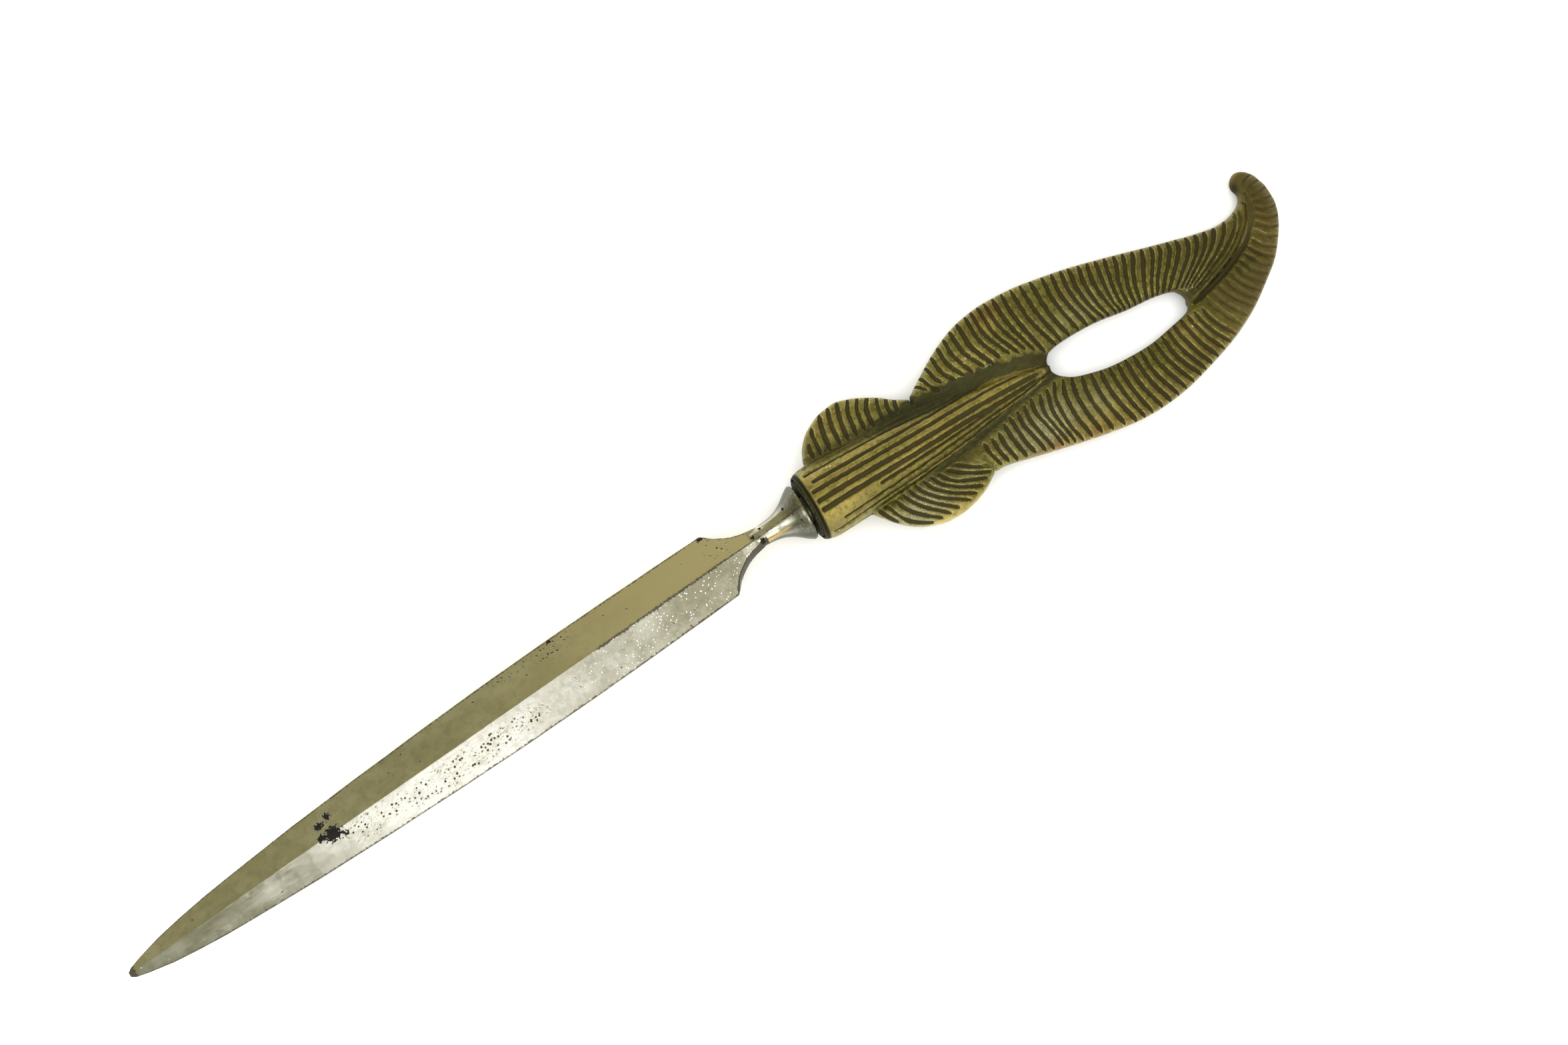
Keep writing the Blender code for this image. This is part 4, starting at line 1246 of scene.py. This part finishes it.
# Softboxes that the blade's nearer facet mirrors into the camera: name, millimetres along the
# blade, then distance, width and height in metres, watts and colour
FACET_SOFTBOXES = (
    ("facet_softbox", -76.0, 0.65, 0.10, 0.13, 0.098, (1.0, 1.02, 1.12)),
    ("near_softbox", -21.0, 0.66, 0.12, 0.16, 0.024, (1.0, 0.96, 0.78)),
)
# Fills: name, place, where along X it aims, width and height in metres, watts and colour
FILLS = (
    ("rib_light", (-0.15, -0.11, 0.66), 0.06, 0.09, 0.15, 0.42, NEUTRAL),
    ("neck_light", (-0.06, -0.45, 0.54), 0.02, 0.30, 0.14, 0.60, NEUTRAL),
    ("left_fill", (-0.55, -0.10, 0.55), 0.06, 0.18, 0.18, 0.8, NEUTRAL),
    ("low_fill", (-0.06, -0.62, 0.50), 0.04, 0.26, 0.08, 0.70, (1.0, 0.78, 0.38)),
    ("shoulder_glow", (0.22, -0.25, 0.55), 0.0, 0.07, 0.07, 0.05, NEUTRAL),
    ("back_fill", (0.30, 0.85, 0.33), 0.06, 0.30, 0.14, 0.6, (1.0, 0.96, 0.88)),
    ("right_fill", (0.90, -0.35, 0.42), 0.06, 0.22, 0.18, 0.5, (1.0, 0.99, 0.97)),
)


def make_camera():
    tilt = math.radians(VIEW_TILT)
    back = Vector((0, 0, 1)) * math.cos(tilt) - VIEW_UP * math.sin(tilt)
    upward = back.cross(VIEW_RIGHT)
    data = bpy.data.cameras.new("camera")
    data.lens = LENS
    data.sensor_width = SENSOR_WIDTH
    data.clip_start = 0.01
    camera = bpy.data.objects.new("camera", data)
    bpy.context.scene.collection.objects.link(camera)
    turn = Matrix((VIEW_RIGHT, upward, back)).transposed().to_4x4()
    camera.matrix_world = Matrix.Translation(VIEW_TARGET + back * VIEW_DISTANCE) @ turn
    bpy.context.scene.camera = camera
    return camera


def softbox(name, place, aim, width, height, power, colour):
    data = bpy.data.lights.new(name, "AREA")
    data.shape = "RECTANGLE"
    data.size = width
    data.size_y = height
    data.energy = power
    data.color = colour
    light = bpy.data.objects.new(name, data)
    bpy.context.scene.collection.objects.link(light)
    away = (Vector(place) - Vector(aim)).normalized()
    turn = away.to_track_quat("Z", "Y").to_matrix().to_4x4()
    light.matrix_world = Matrix.Translation(Vector(place)) @ turn


def make_floor():
    mesh = bpy.data.meshes.new("floor")
    corners = [(FLOOR_REACH * i, FLOOR_REACH * j, 0) for i, j in ((-1, -1), (1, -1), (1, 1), (-1, 1))]
    mesh.from_pydata(corners, [], [(0, 1, 2, 3)])
    floor = bpy.data.objects.new("floor", mesh)
    bpy.context.scene.collection.objects.link(floor)
    material = bpy.data.materials.new("pale_floor")
    material.use_nodes = True
    surface = material.node_tree.nodes["Principled BSDF"]
    surface.inputs["Base Color"].default_value = (0.86, 0.86, 0.86, 1.0)
    surface.inputs["Roughness"].default_value = 0.95
    surface.inputs["Specular IOR Level"].default_value = 0.0
    mesh.materials.append(material)


def make_world():
    """Dim studio walls: warm beyond the blade's upper facet, neutral on the nearer side."""
    world = bpy.data.worlds.new("studio")
    bpy.context.scene.world = world
    world.use_nodes = True
    tree = world.node_tree
    background = tree.nodes["Background"]
    background.inputs["Strength"].default_value = 1.0
    direction = tree.nodes.new("ShaderNodeTexCoord").outputs["Generated"]
    apart = tree.nodes.new("ShaderNodeSeparateXYZ")
    tree.links.new(direction, apart.inputs[0])
    shade = tree.nodes.new("ShaderNodeMapRange")
    shade.interpolation_type = "SMOOTHSTEP"
    for socket, value in zip(shade.inputs[1:5], (-0.35, 0.35, 0.0, 1.0)):
        socket.default_value = value
    tree.links.new(apart.outputs["Y"], shade.inputs[0])
    walls = tree.nodes.new("ShaderNodeMix")
    walls.data_type = "RGBA"
    walls.inputs[6].default_value = (*NEAR_WALL, 1.0)
    walls.inputs[7].default_value = (*FAR_WALL, 1.0)
    tree.links.new(shade.outputs[0], walls.inputs[0])
    tree.links.new(walls.outputs[2], background.inputs["Color"])
    pale = tree.nodes.new("ShaderNodeBackground")
    pale.inputs["Color"].default_value = (1.0, 1.0, 1.0, 1.0)
    path = tree.nodes.new("ShaderNodeLightPath")
    mix = tree.nodes.new("ShaderNodeMixShader")
    tree.links.new(path.outputs["Is Camera Ray"], mix.inputs[0])
    tree.links.new(background.outputs[0], mix.inputs[1])
    tree.links.new(pale.outputs[0], mix.inputs[2])
    tree.links.new(mix.outputs[0], tree.nodes["World Output"].inputs["Surface"])


def mirrored_place(camera, x, distance):
    """Where the blade's nearer facet, at x along the blade, mirrors a light into the camera."""
    turn = TOOL_TO_ROW.to_3x3()
    middle = TOOL_TO_ROW @ (Vector((x, -3.0, 1.2)) * MM)
    slope = math.atan(FACET_SLOPE)
    normal = turn @ Vector((0.0, -math.sin(slope), math.cos(slope)))
    toward = (camera.matrix_world.translation - middle).normalized()
    return middle + (2 * normal.dot(toward) * normal - toward) * distance, middle


def make_lights(camera):
    """Softboxes that the blade's nearer facet mirrors into the camera, fills and a soft sky."""
    for name, x, distance, *rest in FACET_SOFTBOXES:
        place, aim = mirrored_place(camera, x, distance)
        softbox(name, place, aim, *rest)
    for name, place, aim_x, *rest in FILLS:
        softbox(name, place, (aim_x, 0, 0), *rest)
    data = bpy.data.lights.new("sky", "SUN")
    data.energy = SKY_STRENGTH
    data.angle = math.radians(SKY_WIDTH)
    data.color = (0.98, 0.99, 1.06)
    sky = bpy.data.objects.new("sky", data)
    sky.visible_glossy = False
    bpy.context.scene.collection.objects.link(sky)


def main():
    camera = make_camera()
    make_floor()
    make_world()
    make_lights(camera)
    brass = brass_material()
    steel = steel_material()
    handle = make_handle(brass)
    blade = make_blade(steel)
    for piece, node, slot in ((handle, "handle", "aged_brass"), (blade, "blade", "polished_steel")):
        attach(piece, "root")
        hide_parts(node)
    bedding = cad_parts["tang_bedding"]
    bedding.data.materials.clear()
    bedding.data.materials.append(bedding_material())
    bpy.context.scene.view_settings.view_transform = "Standard"


main()
